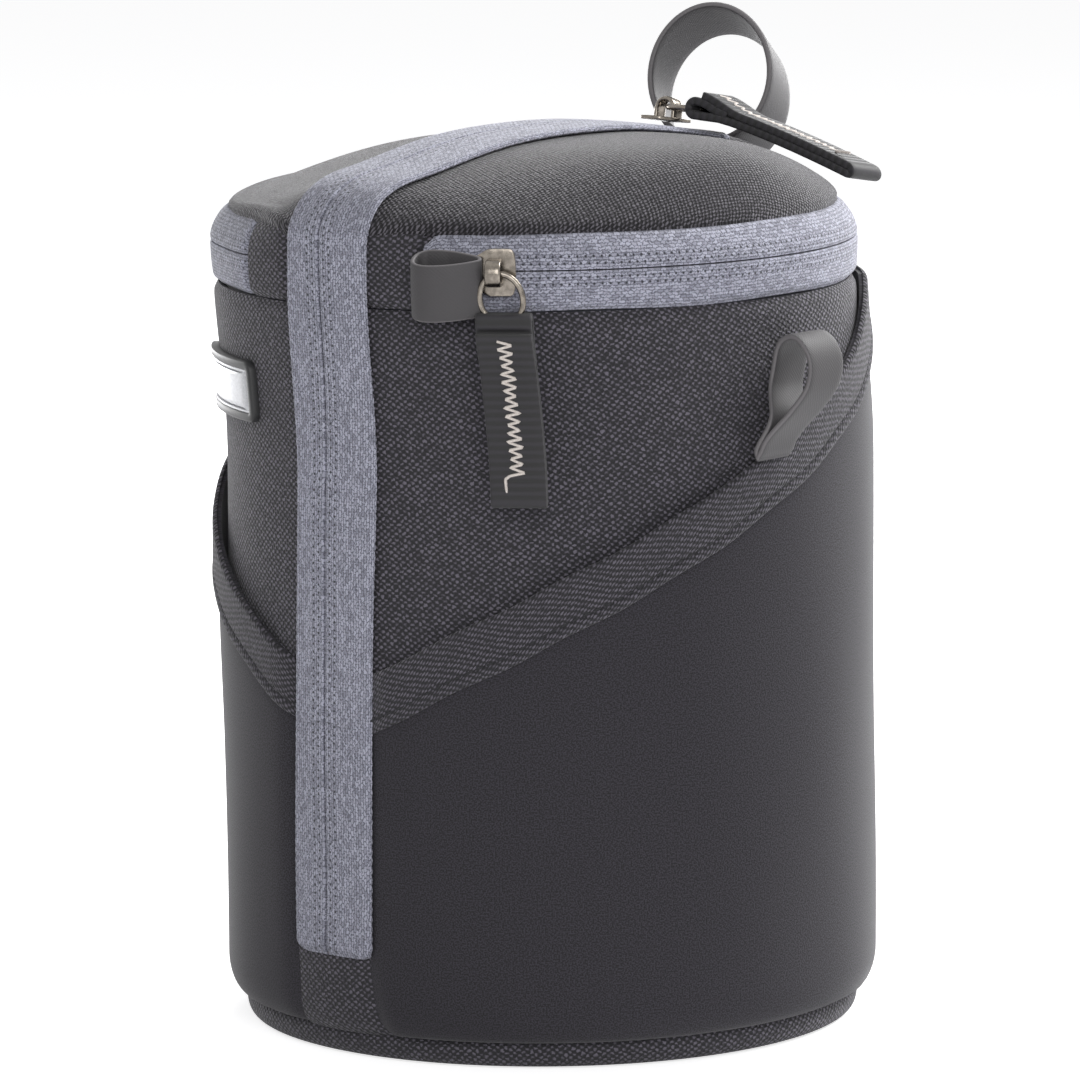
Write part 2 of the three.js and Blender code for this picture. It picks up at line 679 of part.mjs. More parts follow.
// Strap loop that stands on the lid's back slope, on a sewn foot; the strap is as wide as the foot is long.
function addCarryLoop() {
  const seatY = lidSeamRadius - carryLoopSeat;
  const lean = radians(carryLoopLean);
  const downSlope = new THREE.Vector3(0, Math.cos(lean), -Math.sin(lean));
  const point = new THREE.Vector3(0, seatY, domeHeight(seatY, lidSeamRadius, domeRise));
  const seat = placed(point, X, downSlope, X.clone().cross(downSlope));
  const foot = boxBetween(
    [-carryFootWidth / 2, -carryLoopStrap / 2, fit],
    [carryFootWidth / 2, carryLoopStrap / 2, fit + strapThickness]
  );
  add(seat, "carry_loop_foot", foot, smoothStrap);
  const upright = new THREE.Matrix4().makeBasis(X, Z, Y.clone().negate());
  const loop = strapLoop(carryLoopWidth, carryLoopTall, carryLoopStrap, 0).applyMatrix4(upright);
  add(seat, "carry_loop", loop.translate(0, 0, strapThickness + 2 * fit), smoothStrap);
}

function addSideLoop(name, side) {
  const seat = bindingOuter + fit;
  const bottom = pocketEdgeAt(Math.PI / 2) - sideLoopSewn;
  const upright = new THREE.Matrix4().makeBasis(X, Z, Y.clone().negate());
  const lean = sideLoopDepth / 2 - strapThickness;
  const loop = strapLoop(sideLoopDepth, sideLoopTall, sideLoopStrap, lean).applyMatrix4(upright);
  loop.translate(seat + sideLoopDepth / 2, 0, bottom);
  const tab = boxBetween(
    [seat, -sideLoopStrap / 2, bottom],
    [seat + 2 * strapThickness, sideLoopStrap / 2, bottom + 2 * strapThickness]
  );
  const whole = join(loop, tab);
  if (side < 0) whole.rotateZ(Math.PI);
  add(pouch, name, whole, smoothStrap);
}

function addBeltLoop() {
  const out = beltLoopStandOff;
  const thick = beltLoopThickness;
  const sewn = beltLoopSewn;
  const tall = beltLoopTop - beltLoopBottom;
  const outline = new THREE.Shape();
  outline.moveTo(0, 0);
  outline.lineTo(thick, 0);
  outline.bezierCurveTo(thick, sewn, out + thick, sewn, out + thick, 2 * sewn);
  outline.lineTo(out + thick, tall - 2 * sewn);
  outline.bezierCurveTo(out + thick, tall - sewn, thick, tall - sewn, thick, tall);
  outline.lineTo(0, tall);
  outline.lineTo(0, tall - sewn);
  outline.bezierCurveTo(0, tall - 1.5 * sewn, out, tall - 1.5 * sewn, out, tall - 2.5 * sewn);
  outline.lineTo(out, 2.5 * sewn);
  outline.bezierCurveTo(out, 1.5 * sewn, 0, 1.5 * sewn, 0, sewn);
  const options = { depth: beltLoopWidth, bevelEnabled: false, curveSegments: 6 };
  const loop = new THREE.ExtrudeGeometry(outline, options).translate(0, 0, -beltLoopWidth / 2);
  loop.applyMatrix4(new THREE.Matrix4().makeBasis(Y, Z, X));
  add(pouch, "belt_loop", loop.translate(0, pocketOuter + fit, beltLoopBottom), blackWebbing);
}

// Group at a point with its x, y and z along given directions.
function placed(point, along, across, out) {
  const group = new THREE.Group();
  group.position.copy(point);
  group.quaternion.setFromRotationMatrix(new THREE.Matrix4().makeBasis(along, across, out));
  pouch.add(group);
  return group;
}

// Group on the lid zip: x round the pouch, y up and z out of the tape.
function onBand(angle) {
  const turn = radians(angle);
  const point = around(turn, bandRadius, chainHeight);
  return placed(point, around(turn + Math.PI / 2, 1, 0), Z, around(turn, 1, 0));
}

function addGarageLoop() {
  const middle = lidSliderAngle - garageGapAngle - garageAngle / 2;
  const half = (radians(garageAngle) * bandRadius) / 2;
  const outlinePath = (path, inset) => {
    const wide = half - inset;
    const near = fit + inset;
    const far = garageStandOff - inset;
    path.moveTo(near, -wide);
    path.lineTo(far - strapThickness, -wide);
    path.quadraticCurveTo(far + strapThickness, 0, far - strapThickness, wide);
    path.lineTo(near, wide);
    return path;
  };
  const outline = outlinePath(new THREE.Shape(), 0);
  outline.holes.push(outlinePath(new THREE.Path(), garageWall));
  const options = { depth: garageTall, bevelEnabled: false, curveSegments: 6 };
  const loop = new THREE.ExtrudeGeometry(outline, options).translate(0, 0, -garageDrop - garageTall);
  loop.applyMatrix4(new THREE.Matrix4().makeBasis(Z, X, Y));
  add(onBand(middle), "zip_garage_loop", loop, smoothStrap);
}

// Slider on a chain: x along its travel, y across the tape and z out of it.
function sliderBody() {
  const outline = new THREE.Shape();
  outline.moveTo(-sliderLength / 2, -sliderNose / 2);
  outline.lineTo(0, -sliderWidth / 2);
  outline.lineTo(sliderLength / 2, -sliderWidth / 2);
  outline.lineTo(sliderLength / 2, sliderWidth / 2);
  outline.lineTo(0, sliderWidth / 2);
  outline.lineTo(-sliderLength / 2, sliderNose / 2);
  const plate = new THREE.ExtrudeGeometry(outline, { depth: plateThickness, bevelEnabled: false });
  plate.translate(0, 0, sliderLift);
  const shoe = boxBetween(
    [-sliderLength / 4, -sliderWidth / 2 + fit, fit],
    [sliderLength / 2 - fit, -2 * fit, sliderLift + plateThickness / 2]
  );
  const archHeight = bridgeRoom + bridgeThickness;
  const arch = boxBetween(
    [-bridgeWidth / 2, -bridgeSpan / 2, plateTop - plateThickness / 2],
    [bridgeWidth / 2, bridgeSpan / 2, plateTop + archHeight]
  );
  const eye = boxBetween(
    [-bridgeWidth, -bridgeSpan / 2 + bridgeThickness, plateTop],
    [bridgeWidth, bridgeSpan / 2 - bridgeThickness, plateTop + bridgeRoom]
  );
  return cut(join(plate, shoe, arch), eye);
}

// Wire ring through the slider's eye, on the chosen side of the chain.
function pullRing(side) {
  return new THREE.TorusGeometry(ringRadius, wireRadius, 8, 28).translate(0, side * ringRadius, wireLift);
}

// Folded webbing tab with a narrow neck round the ring's far wire, which is at the tab's origin.
function pullTab() {
  const neckTop = wireRadius + neckWall + wireRadius + fit;
  const outline = new THREE.Shape();
  outline.moveTo(-neckWidth / 2, neckTop - neckLength);
  outline.lineTo(-pullWidth / 2, neckTop - 1.5 * neckLength);
  outline.lineTo(-pullWidth / 2, neckTop - pullLength);
  outline.lineTo(pullWidth / 2, neckTop - pullLength);
  outline.lineTo(pullWidth / 2, neckTop - 1.5 * neckLength);
  outline.lineTo(neckWidth / 2, neckTop - neckLength);
  const strap = new THREE.ExtrudeGeometry(outline, { depth: pullThickness, bevelEnabled: false });
  strap.translate(0, 0, -pullThickness / 2);
  const neck = boxBetween(
    [-neckWidth / 2, neckTop - 1.1 * neckLength, -neckThickness / 2],
    [neckWidth / 2, neckTop, neckThickness / 2]
  );
  const eyeHalf = neckThickness / 2 - neckWall;
  const eye = boxBetween([-neckWidth, -wireRadius - fit, -eyeHalf], [neckWidth, neckTop - neckWall, eyeHalf]);
  return cut(join(strap, neck), eye);
}

function addLidPull() {
  const slider = onBand(lidSliderAngle);
  add(slider, "lid_zip_slider", sliderBody(), nickel);
  add(slider, "lid_pull_ring", pullRing(-1), nickel);
  add(slider, "lid_pull_tab", pullTab().translate(0, -2 * ringRadius, wireLift), blackWebbing);
}

function addFrontPull() {
  const point = new THREE.Vector3(0, frontSliderY, ridgeHeightAt(frontSliderY));
  const out = new THREE.Vector3(0, frontSliderY - ridgeTopY, point.z - ridgeCentreHeight).normalize();
  const along = X.clone().cross(out);
  const slider = placed(point, along, X, out);
  add(slider, "front_zip_slider", sliderBody(), nickel);
  add(slider, "front_pull_ring", pullRing(1), nickel);
  const tab = pullTab().rotateZ(Math.PI).rotateX(-radians(frontPullDroop));
  add(slider, "front_pull_tab", tab.translate(0, 2 * ringRadius, wireLift), blackWebbing);
}

addBase();
addWall();
addPocket();
addBinding("pocket_binding_right", true);
addBinding("pocket_binding_left", false);
addLidZip();
addLid();
addFrontZip();
addBadge();
addGarageLoop();
addSideLoop("side_loop_right", 1);
addSideLoop("side_loop_left", -1);
addCarryLoop();
addBeltLoop();
addLidPull();
addFrontPull();

export default pouch;
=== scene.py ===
"""Looks of the round padded lens pouch: its cloth, zips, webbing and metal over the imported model."""

import bmesh
import bpy
import numpy as np
from mathutils import Matrix


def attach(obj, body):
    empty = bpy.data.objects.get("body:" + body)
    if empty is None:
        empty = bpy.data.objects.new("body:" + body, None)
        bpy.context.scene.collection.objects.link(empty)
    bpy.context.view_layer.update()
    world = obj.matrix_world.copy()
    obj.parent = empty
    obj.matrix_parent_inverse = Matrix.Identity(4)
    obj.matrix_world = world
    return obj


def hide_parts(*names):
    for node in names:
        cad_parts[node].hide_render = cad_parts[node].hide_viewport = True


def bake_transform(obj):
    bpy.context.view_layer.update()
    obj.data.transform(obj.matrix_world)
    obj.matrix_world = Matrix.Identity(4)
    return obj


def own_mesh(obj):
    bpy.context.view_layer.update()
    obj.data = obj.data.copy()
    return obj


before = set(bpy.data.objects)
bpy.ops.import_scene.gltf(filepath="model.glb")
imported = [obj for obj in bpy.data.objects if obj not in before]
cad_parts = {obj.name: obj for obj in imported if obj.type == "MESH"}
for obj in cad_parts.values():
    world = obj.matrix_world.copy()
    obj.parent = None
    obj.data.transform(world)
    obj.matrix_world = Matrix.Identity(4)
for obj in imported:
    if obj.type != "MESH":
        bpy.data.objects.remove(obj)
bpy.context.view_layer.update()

# Main sizes in millimetres and angles in radians, most of them as in the model
MM = 0.001
WALL = 63.0  # outer radius of the woven wall
WALL_TOP = 146.0
FOAM_INSIDE = 55.4
POCKET = 64.1
BAND = 63.5  # radius of the lid zip at its chain
CHAIN = 153.8
RIM = 59.5  # the seam round the lid
RIM_HEIGHT = 161.0
DOME_POWER = 8.0  # a high power gives a full, flat-topped lid
BASE_SEAM = 6.5
TAPE_HALF = 9.4
TAPE_FACE = -65.3
ZIP_FOOT = 20.0
RIDGE_FRONT = -48.0
RIDGE_BACK = 48.5  # the front tape's arc over the lid ends here
RIDGE_TOP_Y = -12.0
RIDGE_RADIUS = 340.0
RIDGE_CENTRE = -164.2
BINDING_DROP = 11.5
BINDING_SEAM = 8.9  # its stitching, below its upper edge
HINGE = np.radians(20.5)  # the lid's zip ends here on either side of the front
SLOT = np.arcsin(8.6 / WALL)  # the wall ends here, under the front tape
POCKET_RIGHT = np.arcsin(5.2 / POCKET)  # the pocket's two front edges
POCKET_LEFT = np.arcsin(9.4 / POCKET)
POCKET_FOOT = 5.0
POCKET_TOP = 145.7  # its slanting edge runs into the seam under the lid's zip here
LID_EDGE = TAPE_HALF - 1.6  # the lid's cloth ends here, under the front tape
BADGE_TURN = np.radians(-37)
BADGE_HEIGHT = 127.2
LEAN = 2.2  # how far the soft upper half has settled sideways
LID_SLIDER = np.radians(33.2)
SLIDER_END = np.radians(33.2 + 293)
FRONT_SLIDER_Y = 40.2
RING = 4.1  # half the pull ring's width
RING_FOOT = -9.5  # from the crown down to the wire that carries the tab
WIRE_LIFT = 4.0  # the ring's wire above the zip's face
RIB = 1.55  # spacing of the ribs across the black webbing
FRONT_PULL_TURN = np.radians(-5)  # the front pull lies a little towards the back
CLOTH = 0.9  # thickness of the zip tape, the end patch and the lid's cloth
TOOTH = 1.25  # spacing of the zip coils' teeth
HOLE = 1.57  # spacing of the sewing holes beside the chain
CREASE = np.radians(40)  # sharper bends are shaded as edges
HAND = {1: "right", -1: "left"}
# The carry loop's seat on the lid's back slope, and that slope's ways right, down and out
SLOPE = (np.array([0, 54.3, 164.65]), np.array([1.0, 0, 0]), np.array([0, 0.849893, -0.526956]),
         np.array([0, 0.526956, 0.849893]))


# Shapes in numbers


def ease(t):
    """S-shaped rise from 0 to 1."""
    t = np.clip(t, 0, 1)
    return t * t * (3 - 2 * t)


def hump(x, middle, width):
    """Bell curve of height 1."""
    return np.exp(-(((x - middle) / width) ** 2))


def around(turn, radius, height):
    """Points at an angle from the front, a radius and a height."""
    turn, radius, height = np.broadcast_arrays(turn, radius, height)
    return np.stack([radius * np.sin(turn), -radius * np.cos(turn), height], axis=-1)


def from_front(turn):
    """Angle from the front, from 0 to half a turn on either side."""
    return np.abs((turn + np.pi) % (2 * np.pi) - np.pi)


def uneven(turn, height, size):
    """Unevenness of sewn cloth: three crossing waves round the pouch, size at most."""
    waves = np.sin(3 * turn + height / 17) + 0.6 * np.sin(7 * turn - height / 11 + 1.3)
    return size * (waves + 0.4 * np.sin(13 * turn + height / 23 + 2.1)) / 2


def lengths(points, closed=False):
    """Distance from the first point, along a row of points."""
    if closed:
        points = np.concatenate([points, points[:1]])
    steps = np.linalg.norm(np.diff(points, axis=0), axis=1)
    return np.concatenate([[0], np.cumsum(steps)])


def full_turn(count):
    """Evenly spaced angles once round."""
    return np.linspace(0, 2 * np.pi, count, endpoint=False)


def unit(vectors):
    """Vectors brought to length 1."""
    return vectors / np.linalg.norm(vectors, axis=-1, keepdims=True)


def sampled(values, run, at):
    """Rows of values that lie along a run, read at other distances."""
    return np.stack([np.interp(at, run, axis) for axis in values.T], axis=-1)


def even(points, count):
    """The same line with evenly spaced points."""
    run = lengths(points)
    return sampled(points, run, np.linspace(0, run[-1], count))


def smoothed(row):
    """Running mean of a row of numbers, over nine neighbours."""
    return np.convolve(np.pad(row, 4, mode="edge"), np.ones(9) / 9, mode="valid")


def directions(points, ring=False):
    """Unit tangent at each point of a line."""
    if ring:
        steps = np.roll(points, -1, axis=0) - np.roll(points, 1, axis=0)
    else:
        steps = np.gradient(points, axis=0)
    return unit(steps)


def settled(points):
    """The soft pouch as it stands: from two thirds up it leans a little, away from its right hand front."""
    lean = LEAN * ease((points[..., 2:] - 112) / 40)
    return points + lean * np.array([-0.766, -0.643, 0])


def in_frame(points, origin, first, second, third):
    """Points given along three axes, moved to those axes' origin."""
    return origin + points @ np.array([first, second, third])


def swept(points, along=None, across=None, ring=False):
    """A closed profile carried along a path: each row of points is one closed profile.

    along and across are the cloth's own lengths in millimetres, which the weave follows.
    """
    if along is None:
        along = lengths(points.mean(axis=1), ring)
    if across is None:
        across = lengths(points[len(points) // 2], True)
    if along.ndim == 1:
        along = along[:, None]
    rows, columns = points.shape[:2]
    shape = (rows + ring, columns + 1)
    return points, np.broadcast_to(along, shape), np.broadcast_to(across, shape), ring


def shell(outside, inside):
    """Closed profiles of a sheet: along its outside and back along its inside."""
    return np.concatenate([outside, inside[:, ::-1]], axis=1)


def both_ways(cloth):
    """Cloth lengths for such a profile: there, back, and the first again."""
    return np.concatenate([cloth, cloth[..., ::-1], cloth[..., :1]], axis=-1)


def round_sheet(turns, radius, heights, thickness):
    """Profiles of a sheet round the pouch, from its outer radius at each angle and height."""
    return shell(around(turns, radius, heights), around(turns, radius - thickness, heights))


def bar_profile(width, thickness, corner, steps=3, face=6):
    """Closed rounded rectangle: four quarter arcs joined by flat faces."""
    half, deep = width / 2 - corner, thickness / 2 - corner
    turn = np.linspace(0, np.pi / 2, steps + 1)
    quarters = []
    for index, (x, y) in enumerate([(half, deep), (-half, deep), (-half, -deep), (half, -deep)]):
        angle = turn + index * np.pi / 2
        quarters.append(np.stack([x + corner * np.cos(angle), y + corner * np.sin(angle)], -1))
    rows = []
    for index, quarter in enumerate(quarters):
        follow = quarters[(index + 1) % 4][0]
        count = face if index % 2 == 0 else 2
        between = np.linspace(0, 1, count + 1)[1:-1, None]
        rows += [quarter, quarter[-1] * (1 - between) + follow * between]
    return np.concatenate(rows)


def strap(path, side, width, thickness, ring=False, corner=None, face=6, ribs=None):
    """Flat webbing: a rounded bar carried along a path with its width along side.

    Its weave's across length is the distance from the nearest edge. ribs is a cross
    rib's spacing and depth, a sine wave along the path on both faces.
    """
    side = np.broadcast_to(np.asarray(side, float), path.shape)
    facing = unit(np.cross(directions(path, ring), side))
    profile = bar_profile(width, thickness, corner or 0.45 * thickness, face=face)
    along = lengths(path, ring)
    out = np.broadcast_to(profile[:, 1], (len(path), len(profile)))
    if ribs:
        swell = ribs[1] * np.sin(2 * np.pi * along[: len(path)] / ribs[0])
        out = out + swell[:, None] * np.sign(profile[:, 1]) * (np.abs(profile[:, 0]) < width * 0.46)
    points = path[:, None] + side[:, None] * profile[:, :1] + facing[:, None] * out[..., None]
    from_edge = width / 2 - np.abs(profile[:, 0])
    return swept(points, along, np.append(from_edge, from_edge[0]), ring)


def wire(path, radius, sides, ring=False):
    """Round thread or wire: a circle carried along a path."""
    ahead = directions(path, ring)
    helper = np.where(np.abs(ahead[:, 2:]) > 0.9, [[1.0, 0, 0]], [[0, 0, 1.0]])
    first = unit(np.cross(ahead, helper))
    second = np.cross(ahead, first)
    turn = full_turn(sides)[:, None]
    circle = first[:, None] * np.cos(turn) + second[:, None] * np.sin(turn)
    return swept(path[:, None] + radius * circle, ring=ring)


def stitches(path, facing, length, spacing, radius):
    """Short thread capsules in a row along a path, each a bowed hexagonal wire."""
    run = lengths(path)
    facing = np.broadcast_to(facing, path.shape)
    bow = np.array([-0.8, 0.1, 0.5, 0.1, -0.8])[:, None] * radius
    made = []
    for middle in np.arange(spacing / 2, run[-1], spacing):
        at = middle + length * np.array([-0.5, -0.36, 0, 0.36, 0.5])
        line = sampled(path, run, at) + sampled(facing, run, at) * bow
        made.append(wire(line, radius, 6))
    return made


def wound(part, first):
    """Points, faces and cloth lengths of a swept part, with its faces turned to point outwards.

    first is the number of its first point in the mesh. A part that isn't a ring gets a cap at each end.
    """
    grid, along, across, ring = part
    rows, columns = grid.shape[:2]
    spans = rows if ring else rows - 1
    i, j = np.meshgrid(np.arange(spans), np.arange(columns), indexing="ij")
    corners = [(i, j), (i + 1, j), (i + 1, j + 1), (i, j + 1)]
    quads = np.stack([(a % rows) * columns + b % columns for a, b in corners], -1).reshape(-1, 4)
    cloth = np.stack([np.stack([along[a, b], across[a, b]], -1) for a, b in corners], -2)
    points = settled(grid.reshape(-1, 3))
    corner = points[quads]
    centre = points.mean(axis=0)
    normal = np.cross(corner[:, 2] - corner[:, 0], corner[:, 3] - corner[:, 1])
    volume = np.einsum("ij,ij->", corner.mean(axis=1) - centre, normal)
    caps = []
    if not ring:
        caps = [np.arange(columns), np.arange(columns)[::-1] + (rows - 1) * columns]
    for cap in caps:
        spoke = points[cap] - points[cap].mean(axis=0)
        area = np.cross(spoke, np.roll(spoke, -1, axis=0)).sum(axis=0)
        volume += np.dot(points[cap].mean(axis=0) - centre, area)
    turned = -1 if volume < 0 else 1
    faces = (quads[:, ::turned] + first).tolist()
    maps = [cloth.reshape(-1, 4, 2)[:, ::turned].reshape(-1, 2)]
    for cap in caps:
        cap = cap[::turned]
        faces.append((cap + first).tolist())
        maps.append(np.stack([along[:, :-1].ravel()[cap], across[:, :-1].ravel()[cap]], -1))
    return points, faces, np.concatenate(maps)


def join_poles(mesh):
    """Join the points that fall together where a ring of profiles closes to a point."""
    work = bmesh.new()
    work.from_mesh(mesh)
    bmesh.ops.remove_doubles(work, verts=work.verts, dist=1e-6)
    bmesh.ops.dissolve_degenerate(work, edges=work.edges, dist=1e-7)
    work.to_mesh(mesh)
    work.free()


def piece(name, parts, material, poles=False):
    """One mesh of swept parts, in metres."""
    points, faces, maps = [], [], []
    count = 0
    for part in parts:
        some_points, some_faces, some_maps = wound(part, count)
        points.append(some_points)
        faces += some_faces
        maps.append(some_maps)
        count += len(some_points)
    mesh = bpy.data.meshes.new(name)
    mesh.from_pydata(np.concatenate(points) * MM, [], faces)
    layer = mesh.uv_layers.new(name="Cloth")
    layer.data.foreach_set("uv", np.concatenate(maps).ravel())
    if poles:
        join_poles(mesh)
    mesh.shade_smooth()
    mesh.set_sharp_from_angle(angle=CREASE)
    mesh.materials.append(material)
    made = bpy.data.objects.new(name, mesh)
    bpy.context.scene.collection.objects.link(made)
    return made


def place(made, body, slot, *nodes):
    """Hang a piece on its body in place of its solids."""
    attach(made, body)
    if nodes:
        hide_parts(*nodes)


# Materials


def srgb(code):
    """Linear colour of an sRGB hex value."""
    value = np.array([int(code[at:at + 2], 16) for at in (1, 3, 5)]) / 255
    linear = np.where(value <= 0.04045, value / 12.92, ((value + 0.055) / 1.055) ** 2.4)
    return (*linear, 1.0)


def add(tree, kind, inputs=None, **settings):
    """Add a node: inputs hold values or other nodes' sockets. Gives its outputs."""
    made = tree.nodes.new(kind)
    for key, value in settings.items():
        setattr(made, key, value)
    for key, value in (inputs or {}).items():
        if isinstance(value, bpy.types.NodeSocket):
            tree.links.new(value, made.inputs[key])
        else:
            made.inputs[key].default_value = value
    return made.outputs


def reckon(tree, operation, *values, kind="Math"):
    """Arithmetic node on numbers, or on vectors with the kind VectorMath. Gives its result."""
    return add(tree, f"ShaderNode{kind}", dict(enumerate(values)), operation=operation)[0]


def finish_material(name, colour, roughness, depth, strength=0.6, **sockets):
    """Principled material: colour adds the nodes for its tint and for its grain, depth in millimetres."""
    material = bpy.data.materials.new(name)
    material.use_nodes = True
    tree = material.node_tree
    shader = tree.nodes["Principled BSDF"]
    shader.inputs["Roughness"].default_value = roughness
    for key, value in sockets.items():
        shader.inputs[key.replace("_", " ")].default_value = value
    tint, height = colour(tree)
    tree.links.new(tint, shader.inputs["Base Color"])
    inputs = {"Strength": strength, "Distance": depth * MM, "Height": height}
    normal = add(tree, "ShaderNodeBump", inputs)[0]
    tree.links.new(normal, shader.inputs["Normal"])
    return material


def yarn_place(tree, wander, grain):
    """The cloth's own lengths, shaken by noise so that no two threads run quite alike."""
    cloth = add(tree, "ShaderNodeTexCoord")["UV"]
    stray = add(tree, "ShaderNodeTexNoise", {"Vector": cloth, "Scale": grain, "Detail": 2.0})["Color"]
    stray = reckon(tree, "SUBTRACT", stray, (0.5, 0.5, 0.5), kind="VectorMath")
    stray = add(tree, "ShaderNodeVectorMath", {0: stray, "Scale": wander * 4}, operation="SCALE")[0]
    return reckon(tree, "ADD", cloth, stray, kind="VectorMath")


def threads(tree, spacing, wander, turn=0.0, grain=0.9):
    """Plain weave of melange yarn: sine along times sine across, each grain raised by its random share."""
    rate = (2 * np.pi / spacing[0], 2 * np.pi / spacing[1], 1.0)
    mapped = {"Vector": yarn_place(tree, wander, grain), "Rotation": (0, 0, turn), "Scale": rate}
    cloth = add(tree, "ShaderNodeMapping", mapped)[0]
    waves = reckon(tree, "SINE", cloth, kind="VectorMath")
    split = add(tree, "ShaderNodeSeparateXYZ", {0: waves})
    height = reckon(tree, "MULTIPLY", split["X"], split["Y"])
    grains = reckon(tree, "SNAP", cloth, (np.pi, np.pi, np.pi), kind="VectorMath")
    chance = add(tree, "ShaderNodeTexWhiteNoise", {"Vector": grains}, noise_dimensions="2D")["Value"]
    raised = add(tree, "ShaderNodeMapRange", {"Value": chance, "To Min": 0.4, "To Max": 1.3})[0]
    return reckon(tree, "MULTIPLY", height, raised)


def floats(tree, size, gap, wander, grain):
    """Staggered rows of oblong yarn floats, each with its own shade: gives their height and lightness.

    size is a float's length and its row's height and gap the slope between two floats, in millimetres.
    """
    scale = 0.4
    laid = {"Vector": yarn_place(tree, wander, grain), "Scale": scale, "Bias": 0.0,
            "Color1": (0.45, 0.45, 0.45, 1), "Color2": (1, 1, 1, 1), "Mortar": (0, 0, 0, 1),
            "Mortar Size": gap * scale, "Mortar Smooth": 1.0,
            "Brick Width": size[0] * scale, "Row Height": size[1] * scale}
    rows = add(tree, "ShaderNodeTexBrick", laid, offset=0.5)
    return reckon(tree, "SUBTRACT", 1.0, rows["Fac"]), rows["Color"]


def tinted(tree, value, low, high, under, over):
    """Colour that eases from under to over as a value runs from low to high."""
    range_of = {"Value": value, "From Min": low, "From Max": high}
    share = add(tree, "ShaderNodeMapRange", range_of, interpolation_type="SMOOTHSTEP")[0]
    return add(tree, "ShaderNodeMix", {0: share, 6: under, 7: over}, data_type="RGBA")[2]


def two_tone(tree, height, low, high, dark, light):
    """Colour from dark in the hollows to light on the threads that lie on top."""
    return tinted(tree, height, low, high, srgb(dark), srgb(light))


def woven_nylon():
    """Coarse charcoal weave of melange yarn: pale grains 1.6 mm apart, in staggered rows 0.6 mm apart."""
    def colour(tree):
        height = threads(tree, (1.6, 1.2), turn=-0.1, wander=0.25, grain=1.2)
        return two_tone(tree, height, -0.15, 0.8, "#161519", "#6c6873"), height
    return finish_material("woven nylon", colour, 0.85, depth=0.3, Sheen_Weight=0.15, Sheen_Roughness=0.4)


def binding_tape():
    """Woven binding: the wall's yarn in smaller grains, in rows 0.5 mm apart along the tape."""
    def colour(tree):
        height = threads(tree, (1.35, 1.1), turn=0.3, wander=0.2)
        return two_tone(tree, height, -0.2, 0.8, "#161519", "#67636d"), height
    return finish_material("woven binding", colour, 0.85, depth=0.28, Sheen_Weight=0.15, Sheen_Roughness=0.4)


def lid_twill():
    """Twill over the lid: the wall's yarn in slanting grains, rows 0.5 mm apart, pale at a grazing angle."""
    def colour(tree):
        height = threads(tree, (1.2, 0.95), turn=0.5, wander=0.21, grain=1.2)
        return two_tone(tree, height, -0.2, 0.8, "#161518", "#6c6970"), height
    return finish_material("woven twill", colour, 0.85, depth=0.28, Sheen_Weight=0.4, Sheen_Roughness=0.3,
                           Specular_IOR_Level=0.35)


def pocket_knit():
    """Stretch knit: matt loops too fine to see, which leave a grain, drawn 0.3 mm coarse to show."""
    def colour(tree):
        cloth = add(tree, "ShaderNodeTexCoord")["UV"]
        grain = {"Vector": cloth, "Scale": 3.2, "Detail": 1.0, "Roughness": 0.6}
        height = add(tree, "ShaderNodeTexNoise", grain)[0]
        return two_tone(tree, height, 0.38, 0.62, "#08070a", "#322f37"), height
    return finish_material("stretch knit", colour, 0.9, depth=0.1, Sheen_Weight=0.15, Sheen_Roughness=0.4)


def zip_tape():
    """Woven zip tape: pale grey yarn in short strokes, with two rows of sewing holes by the chain."""
    def colour(tree):
        height, lightness = floats(tree, (1.2, 0.6), 0.16, wander=0.26, grain=2.0)
        tint = two_tone(tree, lightness, 0.0, 1.0, "#62636f", "#b6b7c7")
        split = add(tree, "ShaderNodeSeparateXYZ", {0: add(tree, "ShaderNodeTexCoord")["UV"]})
        for row, phase in ((1.3, 0.0), (2.6, 0.4)):
            along = reckon(tree, "ADD", split["X"], phase * HOLE)
            along = reckon(tree, "PINGPONG", along, HOLE / 2)
            across = reckon(tree, "SUBTRACT", split["Y"], row)
            spot = add(tree, "ShaderNodeCombineXYZ", {0: along, 1: across})[0]
            off = add(tree, "ShaderNodeVectorMath", {0: spot}, operation="LENGTH")["Value"]
            tint = tinted(tree, off, 0.34, 0.14, tint, srgb("#33343b"))
        return tint, height
    return finish_material("woven zip tape", colour, 0.85, depth=0.15, Sheen_Weight=0.2, Sheen_Roughness=0.5)


def smooth_strap():
    """Tightly woven grey nylon strap with a slight shine, and a painted highlight that makes its heat-cut
    edges paler.
    """
    def colour(tree):
        height = threads(tree, (0.8, 0.7), wander=0.1)
        split = add(tree, "ShaderNodeSeparateXYZ", {0: add(tree, "ShaderNodeTexCoord")["UV"]})
        # painted highlight: the colour grows paler within 0.35 mm of each edge, standing in for light caught
        # on the strap's rim
        return two_tone(tree, split["Y"], 0.35, 0.05, "#3b393b", "#6c696b"), height
    return finish_material("nylon strap", colour, 0.62, depth=0.03, Sheen_Weight=0.1)


def black_grosgrain():
    """Ribbed black polyester webbing: cross ribs 1.55 mm apart, as in its shape, with a faint shine."""
    def colour(tree):
        split = add(tree, "ShaderNodeSeparateXYZ", {0: yarn_place(tree, 0.05, 1.2)})
        turn = reckon(tree, "MULTIPLY", split["X"], 2 * np.pi / RIB)
        height = reckon(tree, "SINE", turn)
        return two_tone(tree, height, -1.0, 1.0, "#070608", "#1f1d22"), height
    return finish_material("black grosgrain", colour, 0.7, depth=0.1, Sheen_Weight=0.1)


